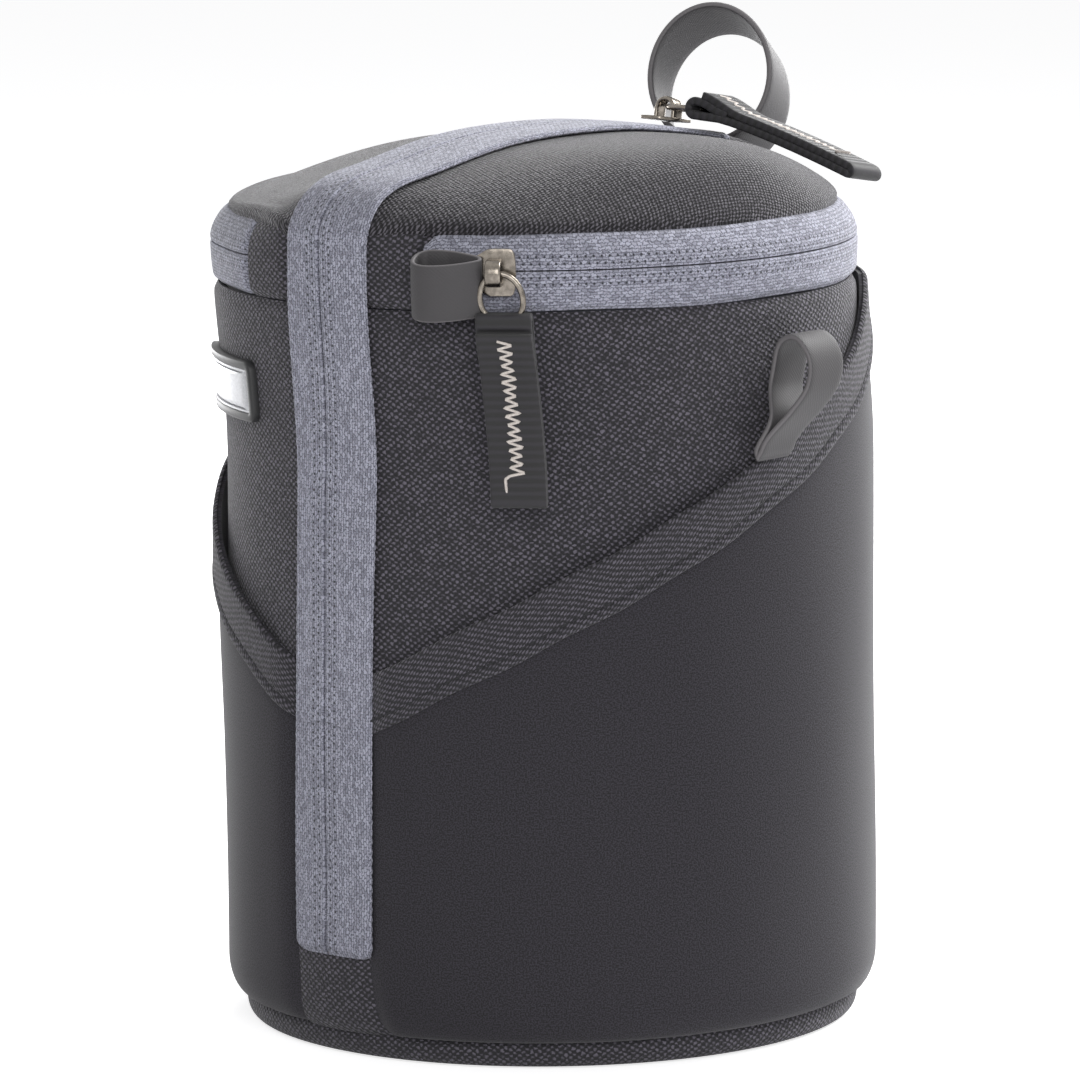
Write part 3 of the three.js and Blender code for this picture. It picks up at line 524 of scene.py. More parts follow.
def nickel():
    """Warm nickel plate on die-cast zinc: a soft mirror with fine casting waviness."""
    def colour(tree):
        spot = add(tree, "ShaderNodeTexCoord")["Object"]
        noise = add(tree, "ShaderNodeTexNoise", {"Vector": spot, "Scale": 900.0, "Detail": 2.0})[0]
        return two_tone(tree, noise, 0.3, 0.7, "#6f6962", "#8b847b"), noise
    return finish_material("nickel plate", colour, 0.24, depth=0.03, strength=0.3, Metallic=1.0)


def speckled(name, dark, light, roughness, grit, depth, **sockets):
    """Plain moulded, brushed or spun surface with a fine grain of a given size in millimetres."""
    def colour(tree):
        spot = add(tree, "ShaderNodeTexCoord")["Object"]
        noise = add(tree, "ShaderNodeTexNoise", {"Vector": spot, "Scale": 1 / (grit * MM), "Detail": 3.0})[0]
        return two_tone(tree, noise, 0.3, 0.7, dark, light), noise
    return finish_material(name, colour, roughness, depth=depth, **sockets)


WOVEN = woven_nylon()
BINDING = binding_tape()
TWILL = lid_twill()
KNIT = pocket_knit()
TAPE = zip_tape()
STRAP = smooth_strap()
GROSGRAIN = black_grosgrain()
NICKEL = nickel()
# Moulded rubber: dull and dark, with a fine grain
RUBBER = speckled("moulded rubber", "#111113", "#19191b", 0.5, 0.4, 0.03)
# Brushed aluminium: bright and half dull
SILVER = speckled("brushed aluminium", "#a9aaad", "#b9babd", 0.38, 0.5, 0.01, Metallic=0.6)
# Brushed tricot: short soft nap without a weave to see
TRICOT = speckled("brushed tricot", "#4c4d54", "#5a5b63", 0.95, 1.2, 0.1, Sheen_Weight=0.4)
# Nylon coil: dark moulded teeth with a dull shine
NYLON = speckled("nylon coil", "#1e1e22", "#28282c", 0.45, 0.5, 0.02)
# Polyester thread: cream on the pulls, dark in the seams
CREAM = speckled("cream thread", "#cdc4bd", "#e0d8d2", 0.7, 0.3, 0.03)
DARK_THREAD = speckled("dark thread", "#151518", "#202024", 0.75, 0.3, 0.03)


# Body


def rim_radius(turn):
    """The lid's seam: round, reaching out to the tape's edges at the front."""
    return RIM + 3.4 * hump(from_front(turn), np.radians(9), np.radians(10))


def band_radius(turn, height):
    """The lid zip band: swells at the chain, falls off as a square to each seam, dips at the run's end."""
    low = BAND - 0.5 * ((CHAIN - height) / 7.8) ** 2
    high = BAND - (BAND - rim_radius(turn)) * ((height - CHAIN) / 7.2) ** 2
    dip = 0.7 * hump(from_front(turn - SLIDER_END), 0, np.radians(9))
    return np.where(height < CHAIN, low, high) - dip


def slot_edge(turn):
    """Distance round the wall from the edge of the front slot."""
    return WALL * (from_front(turn) - SLOT)


def body_turns(count):
    """Angles round the body from one edge of the front slot to the other."""
    return np.linspace(SLOT, 2 * np.pi - SLOT, count)[:, None]


def woven_wall():
    """Padded wall: round, rolled in at its top seam and towards the base, and a little fuller at the zip."""
    turns = body_turns(420)
    heights = np.concatenate([np.linspace(8.4, 126, 36), np.linspace(127, 145.85, 24)])
    radius = WALL + uneven(turns, heights, 0.3) - 1.0 * hump(heights, WALL_TOP, 1.2)
    radius = radius - 1.3 * hump(heights, BASE_SEAM, 5) + 0.3 * hump(slot_edge(turns), 0, 6)
    outside = around(turns, radius, heights)
    inside = np.array([(61.2, 145.6), (61.0, 144.7), (58, 144.6), (FOAM_INSIDE, 144.6), (FOAM_INSIDE, 80),
                       (FOAM_INSIDE, 9.7), (58, 9.7), (60.5, 9.6), (61.0, 8.6)])
    points = np.concatenate([outside, around(turns, inside[:, 0], inside[:, 1])], axis=1)
    wall = piece("woven_wall", [swept(points, WALL * turns)], WOVEN)
    place(wall, "pouch_body", "woven_fabric", "wall_outer_fabric", "wall_foam")


def wall_liner():
    """Lining inside the wall: a profile turned round, that bends out over the foam's top edge."""
    turns = body_turns(260)
    profile = np.array([(55.0, 9.6), (55.0, 60), (55.0, 110), (55.0, 144), (55.3, 144.95), (58, 145.1),
                        (60.6, 145.2), (60.6, 145.9), (57, 145.9), (55, 145.7), (54.3, 145), (54.2, 110),
                        (54.2, 60), (54.2, 9.6)])
    radius = profile[:, 0] + uneven(turns, profile[:, 1], 0.12)
    liner = piece("wall_liner", [swept(around(turns, radius, profile[:, 1]), 55 * turns)], TRICOT)
    place(liner, "pouch_body", "soft_lining", "wall_lining")


def base_shell():
    """Padded base: a flat woven disc whose edge rolls up, half an ellipse, into the seam at the pocket."""
    turns = full_turn(240)[:, None]
    roll = np.linspace(0, 0.86 * np.pi, 18)
    radius = np.concatenate([[0, 20, 40], 58.6 + 2.0 * np.sin(roll), [58.6, 57.6, 52, 26, 0]])
    height = np.concatenate([[0, 0, 0], 3.0 * (1 - np.cos(roll)), [6.6, 8.2, 8.2, 8.2, 8.2]])
    points = around(turns, radius, height)
    points[..., 2] += 0.2 * np.maximum(uneven(turns, height * 4, 1.0), 0) * (height > 0.5) * (height < 4)
    along = np.linspace(0, 2 * np.pi * 60, 241)
    base = piece("base_shell", [swept(points, along, ring=True)], WOVEN, poles=True)
    place(base, "pouch_body", "woven_fabric", "base_panel", "base_foam")


def base_liner():
    """Lining on the base pad, dished up a little at its edge."""
    turns = full_turn(180)[:, None]
    radius = np.array([0, 25, 45, 53, 53.9, 53.9, 53, 45, 25, 0])
    height = np.array([9.1, 9.1, 9.1, 9.15, 9.2, 8.5, 8.3, 8.3, 8.3, 8.3])
    liner = piece("base_liner", [swept(around(turns, radius, height), ring=True)], TRICOT, poles=True)
    place(liner, "pouch_body", "soft_lining", "base_lining")


def pocket_slant(turn):
    """The pocket's edge rises evenly from the front zip to the back."""
    return 71 + 0.512 * from_front(turn) * POCKET


def pocket_top(turn):
    """Pocket's edge: the even slant, until it runs into the seam under the lid's zip."""
    return np.minimum(pocket_slant(turn), POCKET_TOP)


def pocket_gape(turn):
    """How far the pocket's edge stands off the wall, most beside the front."""
    return 0.9 * hump(from_front(turn), np.radians(58), np.radians(30))


def pocket_edge(turn):
    """Distance round the pocket from the nearer of its two front edges."""
    slot = np.where(np.sin(turn) > 0, POCKET_RIGHT, POCKET_LEFT)
    return POCKET * (from_front(turn) - slot)


def base_roll(height):
    """How the pocket rolls in to the base seam: a quarter of an ellipse 7 mm tall and 3.4 mm deep."""
    below = np.clip((POCKET_FOOT + 7 - height) / 7, 0, 1)
    return 3.4 * (1 - np.sqrt(1 - below**2))


def pocket_radius(turn, height):
    """Stretched knit: upright, rolled under at the base, drawn in along the zip, gaping at its edge."""
    drawn_in = 1.6 * hump(pocket_edge(turn), 0, 4)
    radius = 64.3 - base_roll(height) + uneven(turn, height, 0.22) - drawn_in
    near_edge = ease((height - pocket_top(turn) + 45) / 45)
    return radius + pocket_gape(turn) * near_edge


def knit_pocket():
    """Stretch pocket: a thin sheet from the base seam to its slanting edge, its front corners rounded."""
    turns = np.linspace(POCKET_RIGHT, 2 * np.pi - POCKET_LEFT, 420)[:, None]
    share = np.concatenate([np.linspace(0, 0.12, 20), np.linspace(0.14, 1, 44)])
    rightward = np.sin(turns) > 0
    corner = np.clip(1 - pocket_edge(turns) / np.where(rightward, 7, 3), 0, 1)
    foot = POCKET_FOOT + np.where(rightward, 6, 2) * (1 - np.sqrt(1 - corner**2))
    heights = foot + (pocket_top(turns) - 0.4 - foot) * share
    flare = np.where(rightward, 3.2, 0.7) * (1 - ease((heights - 5) / 16)) * np.exp(-pocket_edge(turns) / 9)
    points = round_sheet(turns + flare / POCKET, pocket_radius(turns, heights), heights, 0.75)
    pocket = piece("knit_pocket", [swept(points, POCKET * turns, both_ways(heights))], KNIT)
    place(pocket, "pouch_body", "stretch_fabric", "stretch_pocket")


def binding_wave(turn):
    """The binding wavers up and down in a sine wave, by 0.25 mm."""
    return 0.25 * np.sin(from_front(turn) * 19)


def pocket_binding(side, node):
    """Binding: a woven band on the pocket's edge with rounded edges, a raised lower lip and stitching."""
    start = 5.6 if side > 0 else 7.2
    turns = side * np.radians(np.linspace(start, 150, 300))[:, None]
    lip = np.linspace(8.7, BINDING_DROP, 14)
    drop = np.concatenate([np.linspace(0, 1, 6), np.linspace(1.4, 8.4, 12), lip])
    swell = np.sqrt(np.clip(1 - (1 - np.minimum(drop, BINDING_DROP - drop) / 0.9).clip(0) ** 2, 0, 1))
    swell = 0.2 + 0.75 * swell + 0.2 * hump(drop, 10.3, 0.75) - 0.3 * hump(drop, BINDING_SEAM, 0.35)
    end = ease((from_front(turns) - np.radians(8.4)) / np.radians(3.2))
    heights = pocket_slant(turns) - drop + binding_wave(turns)
    sewn_in = ease((heights - 144.5) / 2)
    heights = np.minimum(heights, POCKET_TOP + 0.04 * (heights - POCKET_TOP))
    base = pocket_radius(turns, np.minimum(heights, pocket_top(turns))) + 0.05
    raised = base + swell * (0.35 + 0.65 * end) * (1 - 0.7 * sewn_in)
    points = shell(around(turns, raised, heights), around(turns, base + 0.02, heights))
    along = both_ways(from_front(turns) * POCKET * 1.12 + drop * 0.45)
    band = piece(f"binding_band_{HAND[side]}", [swept(points, along, both_ways(drop))], BINDING)
    place(band, "pouch_body", "binding_tape", node)
    seam = turns[4:-14, 0]
    groove = (base + swell)[4:-14, np.argmin(np.abs(drop - BINDING_SEAM))] - 0.02
    line = around(seam, groove, pocket_slant(seam) - BINDING_SEAM + binding_wave(seam))
    thread = stitches(line, around(seam, 1, 0), 1.5, 2.3, 0.22)
    sewn = piece(f"binding_stitches_{HAND[side]}", thread, DARK_THREAD)
    place(sewn, "pouch_body", "binding_tape")


def end_patch():
    """Woven patch under the front zip: bows out level with the pocket's edges, rolls in to the base seam."""
    turns = np.linspace(-POCKET_LEFT - 0.06, POCKET_RIGHT + 0.14, 60)[:, None]
    heights = np.linspace(4.6, 21.5, 24)
    middle = (POCKET_RIGHT - POCKET_LEFT) / 2
    bow = 1.0 * np.sqrt(np.clip(1 - ((turns - middle) / 0.17) ** 2, 0, 1))
    radius = 62.7 - 0.85 * base_roll(heights) + bow
    points = round_sheet(turns, radius, heights, CLOTH)
    patch = piece("zip_end_patch", [swept(points, WALL * turns, both_ways(heights))], WOVEN)
    place(patch, "pouch_body", "woven_fabric", "front_zip_end_patch")


def lid_tape(up, name, body, node):
    """One half of the lid zip's tape: follows the band from the chain to its seam, with rolled edges."""
    turns = np.linspace(HINGE, 2 * np.pi - HINGE, 420)[:, None]
    reach = 7.15 if up > 0 else 7.75
    rolled = np.linspace(reach - 1.1, reach, 8)
    away = np.concatenate([[0.14, 0.2, 0.4], np.linspace(0.9, reach - 1.4, 12), rolled])
    corner = np.degrees(from_front(turns) - HINGE)
    trim = 1 - 0.28 * hump(corner, 0, 1.5) * (up > 0)
    heights = CHAIN + up * away * trim + 0.18 * np.sin(9 * turns) * (away / reach) ** 2
    roll = 0.3 * hump(away, 0.1, 0.25) + 1.1 * hump(away, reach, 0.7) + 0.8 * hump(corner, 0, 1.0)
    radius = band_radius(turns, heights) - roll + uneven(turns, heights * 3, 0.12)
    points = round_sheet(turns, radius, heights, CLOTH)
    tape = piece(name, [swept(points, BAND * turns, both_ways(away))], TAPE)
    place(tape, body, "zip_tape", node)


def coil_strip(path, inward, side, name, body, node):
    """Zip coil: an oval strip beside the chain whose depth swells as a sine, once for each tooth."""
    run = lengths(path)
    steps = 4
    at = np.linspace(0, run[-1], int(run[-1] / TOOTH * steps))
    turn = full_turn(10)
    swell = 0.85 + 0.15 * np.sin(2 * np.pi * np.arange(len(at)) / steps)[:, None]
    wide = (1.2 * np.cos(turn) + 1.32) * np.ones_like(swell)
    deep = 0.72 * np.sin(turn) * swell + 0.85
    path = sampled(path, run, at)[:, None]
    inward = sampled(inward, run, at)[:, None]
    points = path + np.array(side) * wide[..., None] + inward * deep[..., None]
    strip = piece(name, [swept(points)], NYLON)
    place(strip, body, "zip_coil", node)


def lid_coils():
    """The two halves of the lid zip's coil, just behind the tape's inner face."""
    turns = np.linspace(HINGE + 0.05, 2 * np.pi - HINGE - 0.05, 500)
    inward = around(turns, -1, 0)
    path = around(turns, BAND - 1.25, CHAIN)
    coil_strip(path, inward, (0, 0, -1), "lid_teeth_lower", "pouch_body", "lid_zip_coil_lower")
    coil_strip(path, inward, (0, 0, 1), "lid_teeth_upper", "lid", "lid_zip_coil_upper")


def hinge_gusset(side, nodes):
    """Woven gusset between the front tape and the lid zip's end, where the lid hinges: sunk in at its two
    seams, at the slot's edge and towards the lid zip's end.
    """
    turns = side * np.linspace(SLOT - 0.02, HINGE + 0.05, 50)[:, None]
    low = np.linspace(146.1, 148, 6)
    high = np.linspace(159.3, 160.9, 6)
    heights = np.concatenate([low, np.linspace(148.6, 159, 16), high])
    sink = 1.0 * hump(heights, 146, 0.9) + 0.9 * hump(heights, 161, 0.8)
    sink = sink + 1.5 * ease((np.degrees(from_front(turns) - HINGE) + 1.2) / 1.4)
    radius = band_radius(turns, heights) + 0.3 - sink - 0.8 * hump(slot_edge(turns), -1, 1.5)
    points = round_sheet(turns, radius, heights, 1.1)
    gusset = piece(f"gusset_{HAND[side]}", [swept(points, WALL * turns, both_ways(heights))], WOVEN)
    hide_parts(*nodes)
    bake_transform(gusset)


# Front zip


def ridge(y):
    """Height of the tape's face over the lid: an arc of a large circle."""
    return RIDGE_CENTRE + np.sqrt(RIDGE_RADIUS**2 - (y - RIDGE_TOP_Y) ** 2)


def zip_line():
    """Face of the front zip in the middle plane: up the front, over a shoulder curve, along the arc.

    The shoulder is a cubic curve held by four points. The worn lid lies lower there than the arc, and
    fuller behind its middle.
    """
    upright = np.stack([np.full(100, TAPE_FACE), np.linspace(ZIP_FOOT, 158, 100)], -1)
    top = ridge(RIDGE_FRONT)
    slope = -(RIDGE_FRONT - RIDGE_TOP_Y) / (top - RIDGE_CENTRE)
    before = (RIDGE_FRONT - 12.5, top - 12.5 * slope)
    held = np.array([(TAPE_FACE, 158), (TAPE_FACE, 164.8), before, (RIDGE_FRONT, top)])
    t = np.linspace(0, 1, 80)[1:, None]
    weights = np.concatenate([(1 - t) ** 3, 3 * t * (1 - t) ** 2, 3 * t**2 * (1 - t), t**3], axis=1)
    y = np.linspace(RIDGE_FRONT, RIDGE_BACK, 100)[1:]
    line = np.concatenate([upright, weights @ held, np.stack([y, ridge(y)], -1)])
    worn = 0.8 * hump(line[:, 0], 20, 26) - 2.8 * hump(line[:, 0], -50, 22)
    line[:, 1] += worn * ease((line[:, 1] - 156) / 12)
    return even(line, 460)


def zip_inward(line):
    """Direction from the tape's face into the pouch."""
    ahead = directions(line)
    return np.stack([ahead[:, 1], -ahead[:, 0]], -1)


def tape_drift(run):
    """Sideways drift of the climbing tape: 1.3 mm left at its foot, 2.6 mm right at the shoulder."""
    return 1.3 * ease(run / 60) - 1.3 + 2.6 * ease((run - 50) / 90)


def chain_place(run):
    """The chain lies left of the tape's middle and wanders by two slow waves."""
    return tape_drift(run) - 1.7 + 0.3 * np.sin(run / 19 + 1) + 0.2 * np.sin(run / 8.3)


def front_tape(side, nodes):
    """One half of the front zip's tape: a strip that falls back as the square of the way from the middle.

    Its edge is rolled and lightly scalloped, and its corners are rounded.
    """
    line = zip_line()
    inward = zip_inward(line)
    run = lengths(line)[:, None]
    from_end = np.minimum(run, run[-1] - run)
    corner = 2.0 * (1 - np.sqrt(1 - (1 - np.clip(from_end / 2.5, 0, 1)) ** 2))
    scallop = 0.2 * np.sin(run / 13 + side) + 0.1 * np.sin(2 * np.pi * run / 1.9)
    edge = side * tape_drift(run) + TAPE_HALF + (0.1 if side > 0 else 0.6) + scallop - corner
    start = side * chain_place(run) + 0.12
    share = np.concatenate([[0, 0.012, 0.035], np.linspace(0.08, 1, 16)])
    bend = np.linspace(0, np.pi / 2, 7)
    x_face = start + (edge - 0.9 - start) * share
    roll = 0.35 * hump(share, 0, 0.02) + 0 * run
    x_edge = edge - 0.9 + 0.9 * np.sin(bend)
    wide = np.concatenate([x_face, x_edge, edge - 0.3, edge - 0.9, start + 1.0, start], axis=1)
    behind = [level + 0 * run for level in (1.1, 1.2, 1.15, 1.1)]
    thick = np.concatenate([roll, 0.8 * (1 - np.cos(bend)) + 0 * run, *behind], axis=1)
    flat = 1 - 0.7 * ease((line[:, 1:] - 160) / 8)
    deep = 0.35 + flat * wide**2 / 130 + thick + 0.9 * hump(from_end, 0, 0.9)
    along_y = line[:, :1] + inward[:, :1] * deep
    along_z = line[:, 1:] + inward[:, 1:] * deep
    points = np.stack([side * wide, along_y, along_z], -1)
    across = wide - start + thick * (wide > edge - 0.5)
    across = np.concatenate([across, across[:, :1]], axis=1)
    tape = piece(f"front_tape_{HAND[side]}", [swept(points, run, across)], TAPE)
    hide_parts(*nodes)
    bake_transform(tape)


def front_coils():
    """The front zip's coils behind the tape, in a body half and a lid half."""
    line = zip_line()
    inward = zip_inward(line)
    run = lengths(line)
    path = np.column_stack([chain_place(run), line + inward * 1.6])
    into = np.column_stack([np.zeros(len(run)), inward])
    low = (run > 4) & (line[:, 1] < 153)
    high = (np.arange(len(run)) > np.argmax(line[:, 1] > 154.6)) & (run < run[-1] - 4)
    halves = ((low, "front_teeth", "pouch_body", "front_zip_coil"),
              (high, "lid_teeth", "lid", "lid_front_coil"))
    for side, hand in HAND.items():
        for half, teeth, body, node in halves:
            coil_strip(path[half], into[half], (side, 0, 0), f"{teeth}_{hand}", body, f"{node}_{hand}")


# Lid


def dome_height(radius):
    """Crown of the lid: a flat-topped power curve from the seam."""
    return RIM_HEIGHT + 13 * (1 - np.clip(radius / RIM, 0, 1) ** DOME_POWER)


def tape_side():
    """Where the lid's cloth meets the tape's edge: the tape's line, 2.1 mm under its face."""
    line = zip_line()
    return line + zip_inward(line) * 2.1


def meets_tape(y):
    """Height of the lid's cloth beside the tape, easing to the plain dome behind the tape's end."""
    edge = tape_side()
    edge = edge[edge[:, 1] > 158.5]
    beside = np.interp(y, edge[:, 0], edge[:, 1])
    return beside + (dome_height(np.hypot(TAPE_HALF, y)) - beside) * ease((y - 45) / 7)


def under_lid(top):
    """Underside of the lid's cloth: one thickness below it, and no higher than just above the seam."""
    under = top.copy()
    under[..., 2] = np.minimum(top[..., 2] - CLOTH, RIM_HEIGHT + 0.4)
    return under


def lid_panel(side, power):
    """Half of the lid: rows across from the rim seam to the tape, each a power curve between its ends."""
    front = np.arcsin(LID_EDGE / 62.9) + 0.003
    back = np.pi - np.arcsin(LID_EDGE / RIM) - 0.002
    turns = np.linspace(front, back, 190)[:, None]
    rim = rim_radius(turns)
    share = np.concatenate([np.linspace(0, 0.1, 10), np.linspace(0.13, 0.9, 26), np.linspace(0.92, 1, 6)])
    x = rim * np.sin(turns) * (1 - share) + LID_EDGE * share
    y = -rim * np.cos(turns) + 0 * share
    ratio = np.hypot(x, y) / rim
    last = np.minimum(ratio[:, -1:], 0.985)
    ratio = 1 + share * (last - 1)
    climb = (1 - ratio**power) / (1 - last**power)
    seam = RIM_HEIGHT - 0.2 - 1.2 * hump(from_front(turns), np.radians(8), np.radians(6))
    z = seam + (meets_tape(y) - seam) * climb
    span = rim * np.sin(turns) * share
    puff = 0.8 * np.exp(-span / 2.5) * (1 - np.exp(-span / 0.5))
    if side < 0:
        z = z + 0.9 * hump(span, 3.5, 3.5) * ease(span / 2)
    else:
        z = z + 1.5 * (1 - np.exp(-span / 1.5)) * np.exp(-span / 14) * ease((1 - share) * 4)
    x = x + puff * np.sin(turns)
    y = y - puff * np.cos(turns)
    z = z + uneven(turns, x, 0.25) * ease(span / 6) * ease((1 - share) * 6)
    top = np.stack([side * x, y, z], -1)
    steps = np.linalg.norm(np.diff(top[:, ::-1], axis=1), axis=2)
    run = np.pad(np.cumsum(steps, axis=1), ((0, 0), (1, 0)))[:, ::-1]
    return swept(shell(top, under_lid(top)), both_ways(y), both_ways(run))


def lid_tongue():
    """The lid's cloth behind the tape's end: the plain dome between the two halves."""
    x = np.linspace(-1, 1, 30)[:, None] * LID_EDGE
    back = np.sqrt(RIM**2 - x**2)
    start = RIDGE_BACK + 0.4
    y = start + (back - start) * np.linspace(0, 1, 20)
    sunk = 0.8 * hump(y, RIDGE_BACK, 1.2)
    z = np.maximum(dome_height(np.hypot(x, y)), RIM_HEIGHT - 0.2) - sunk
    top = np.stack([x + 0 * y, y, z], -1)
    return swept(shell(top, under_lid(top)), both_ways(y), x)


def lid_dome():
    """Padded lid: two halves beside the zip, the left one slacker, and a tongue behind it."""
    dome = piece("lid_dome", [lid_panel(1, DOME_POWER), lid_panel(-1, 2.3), lid_tongue()], TWILL)
    place(dome, "lid", "lid_twill", "lid_top_fabric", "lid_foam")


def lid_liner():
    """Flat lining under the lid: two half discs beside the zip, joined behind it."""
    parts = []
    y = np.linspace(-56.8, 56.8, 90)[:, None]
    reach = np.sqrt(57.6**2 - y**2)
    inner = np.where(y > RIDGE_BACK + 1, 0.0, 9.8)
    inner = np.minimum(inner, reach - 0.2)
    x = inner + (reach - inner) * np.linspace(0, 1, 16)
    for side in HAND:
        top = np.stack([side * x, y + 0 * x, np.full_like(x, 160.95)], -1)
        parts.append(swept(shell(top, top - [0, 0, 0.75])))
    liner = piece("lid_liner", parts, TRICOT)
    place(liner, "lid", "soft_lining", "lid_lining")


# Badge


def badge_plan(inset):
    """Plan of the badge: a rounded oblong, drawn again at each inset from its edge."""
    outline = bar_profile(37, 12, 2.2, steps=6, face=24)
    outward = unit(outline - np.clip(outline, [-16.3, -3.8], [16.3, 3.8]))
    return outline[:, None] - outward[:, None] * np.array(inset)[:, None]


def on_wall(flat, lift):
    """The plan wrapped round the wall, lifted off it: sideways becomes arc length."""
    turn = BADGE_TURN + flat[..., 0] / (WALL + 0.6)
    return around(turn, WALL + 0.4 + lift, BADGE_HEIGHT + flat[..., 1])


def badge_surround():
    """Badge frame: a bevelled rim, from its outer foot over its top to the plate."""
    flat = badge_plan([0, 0, 0.25, 0.6, 1.5, 1.75, 1.8, 2.1])
    lift = np.array([-0.5, 0.75, 1.1, 1.2, 1.2, 1.0, 0.4, -0.4])
    made = piece("badge_surround", [swept(on_wall(flat, lift), ring=True)], RUBBER)
    place(made, "pouch_body", "badge_dark", "badge_frame")


def badge_face():
    """Bare badge plate: a raised line and a groove along its edge, and a flat middle."""
    flat = badge_plan([1.7, 1.75, 1.85, 2.2, 2.3, 2.4, 2.6, 2.7, 2.9])
    lift = np.array([0.3, 0.85, 0.95, 0.95, 0.85, 0.35, 0.35, 0.8, 0.9])
    inner = flat[:, -1:] * np.linspace(1, 0, 8)[1:, None]
    flat = np.concatenate([flat, inner], axis=1)
    lift = np.concatenate([lift, np.full(7, 0.9)])
    points = shell(on_wall(flat, lift), on_wall(flat, -0.3))
    made = piece("badge_face", [swept(points, ring=True)], SILVER, poles=True)
    place(made, "pouch_body", "badge_silver", "badge_plate")


# Strap loops


def loop_line(width, tall, count, low):
    """Strap loop in a plane: sideways W/2 sin t (1 + low cos t), up L/2 (1 - cos t).

    low above 0 puts the widest part below the middle, and below 0 above it, as in a teardrop.
    """
    t = full_turn(count)
    sideways = np.sin(t) * (1 + low * np.cos(t))
    return np.stack([sideways * width / 2 / sideways.max(), tall / 2 * (1 - np.cos(t))], -1)


def garage_loop():
    """Grip loop beside the lid zip's slider: a strap on edge round a drop with its tip at the slider.

    The drop is an oval whose depth shrinks towards the tip, and its front dips below its back.
    """
    t = full_turn(90)
    turn = np.radians(25.9 + 5.5 * np.cos(t))
    radius = 66.9 + 2.6 * np.sign(np.sin(t)) * np.abs(np.sin(t)) ** 0.8 * (1 - 0.45 * np.cos(t))
    path = around(turn, np.maximum(radius, 64.3), 151.9 - 0.42 * (radius - 65.5))
    loop = piece("garage_strap", [strap(path, (0, 0, 1), 10.8, 0.8, ring=True)], STRAP)
    place(loop, "pouch_body", "smooth_strap", "zip_garage_loop")


def side_loop(side, node):
    """Side loop: a strap doubled into a stem that slants to its sewn foot, and open above as a teardrop."""
    line = loop_line(9.0, 22.6, 90, low=-0.45)
    opened = ease((line[:, 1] - 3) / 11)
    aside = np.sign(line[:, 0]) * 0.6 * ease(line[:, 1] / 1.5) * (1 - opened) + line[:, 0] * opened
    out = 66.0 + 3.2 * ease(line[:, 1] / 9) + aside
    path = np.stack([side * out, -11.6 + 8.8 * ease(line[:, 1] / 19), 116.6 + line[:, 1]], -1)
    loop = piece(f"side_strap_{HAND[side]}", [strap(path, (0, 1, 0), 10, 1.1, ring=True, face=8)], STRAP)
    place(loop, f"side_loop_{HAND[side]}", "smooth_strap", node)


def carry_loop():
    """Carry loop: an oval strap on the lid's back slope, turned and leaning, with its width on the slant."""
    turn, lean = np.radians(26.4), np.radians(16.3)
    sideways = np.array([np.cos(turn), np.sin(turn), 0])
    upwards = np.array([-np.sin(turn) * np.sin(lean), np.cos(turn) * np.sin(lean), np.cos(lean)])
    turn, lean = np.radians(15.5), np.radians(34.4)
    width_way = np.array([-np.sin(turn) * np.cos(lean), np.cos(turn) * np.cos(lean), -np.sin(lean)])
    line = loop_line(24.5, 27.9, 110, low=0.02)
    path = np.array([0.4, 56.7, 164.9]) + line[:, :1] * sideways + line[:, 1:] * upwards
    loop = piece("carry_strap", [strap(path, width_way, 12, 1.2, ring=True, face=8)], STRAP)
    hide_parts("carry_loop")
    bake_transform(loop)


def carry_foot():
    """Sewn end of the carry loop: a short strap across the slope, bowed as a parabola, and its stitches."""
    down, out = SLOPE[2:]
    across = np.linspace(-5, 5, 14)
    flat = np.stack([across, 0 * across, 1.0 - 0.02 * across**2], -1)
    foot = strap(in_frame(flat, *SLOPE), down, 12, 1.3)
    sewn = []
    for edge in (-3.6, 3.6):
        row = np.stack([np.full(20, edge), np.linspace(-5, 5, 20), np.full(20, 1.42)], -1)
        sewn += stitches(in_frame(row, *SLOPE), out, 1.5, 2.0, 0.2)
    made = piece("carry_strap_foot", [foot], STRAP)
    place(made, "lid", "smooth_strap", "carry_loop_foot")
    thread = piece("carry_strap_stitches", sewn, DARK_THREAD)
    place(thread, "lid", "smooth_strap")


def belt_loop():
    """Belt loop on the back: wide webbing sewn flat at both ends, standing off in an even bow between."""
    z = np.array([35, 39, 43, 46, 50, 60, 69, 78, 88, 92, 95, 99, 103])
    off = np.array([0, 0, 0.2, 2.2, 4.2, 5.1, 5.2, 5.1, 4.2, 2.2, 0.2, 0, 0])
    at = np.linspace(35, 103, 120)
    bow = smoothed(np.interp(at, z, off))
    path = np.stack([0 * at, 65.5 + bow, at], -1)
    loop = piece("belt_strap", [strap(path, (1, 0, 0), 30, 1.7, face=20, ribs=(RIB, 0.08))], GROSGRAIN)
    place(loop, "pouch_body", "black_webbing", "belt_loop")
    sewn = []
    for low in (36.5, 96.5):
        box = np.array([(-13, low), (13, low), (13, low + 5), (-13, low + 5), (-13, low), (13, low + 5)])
        line = even(box, 200)
        path = np.stack([line[:, 0], np.full(200, 66.45), line[:, 1]], -1)
        sewn += stitches(path, (0, 1, 0), 1.6, 2.2, 0.2)
    thread = piece("belt_strap_stitches", sewn, DARK_THREAD)
    place(thread, "pouch_body", "black_webbing")


# Sliders and pulls


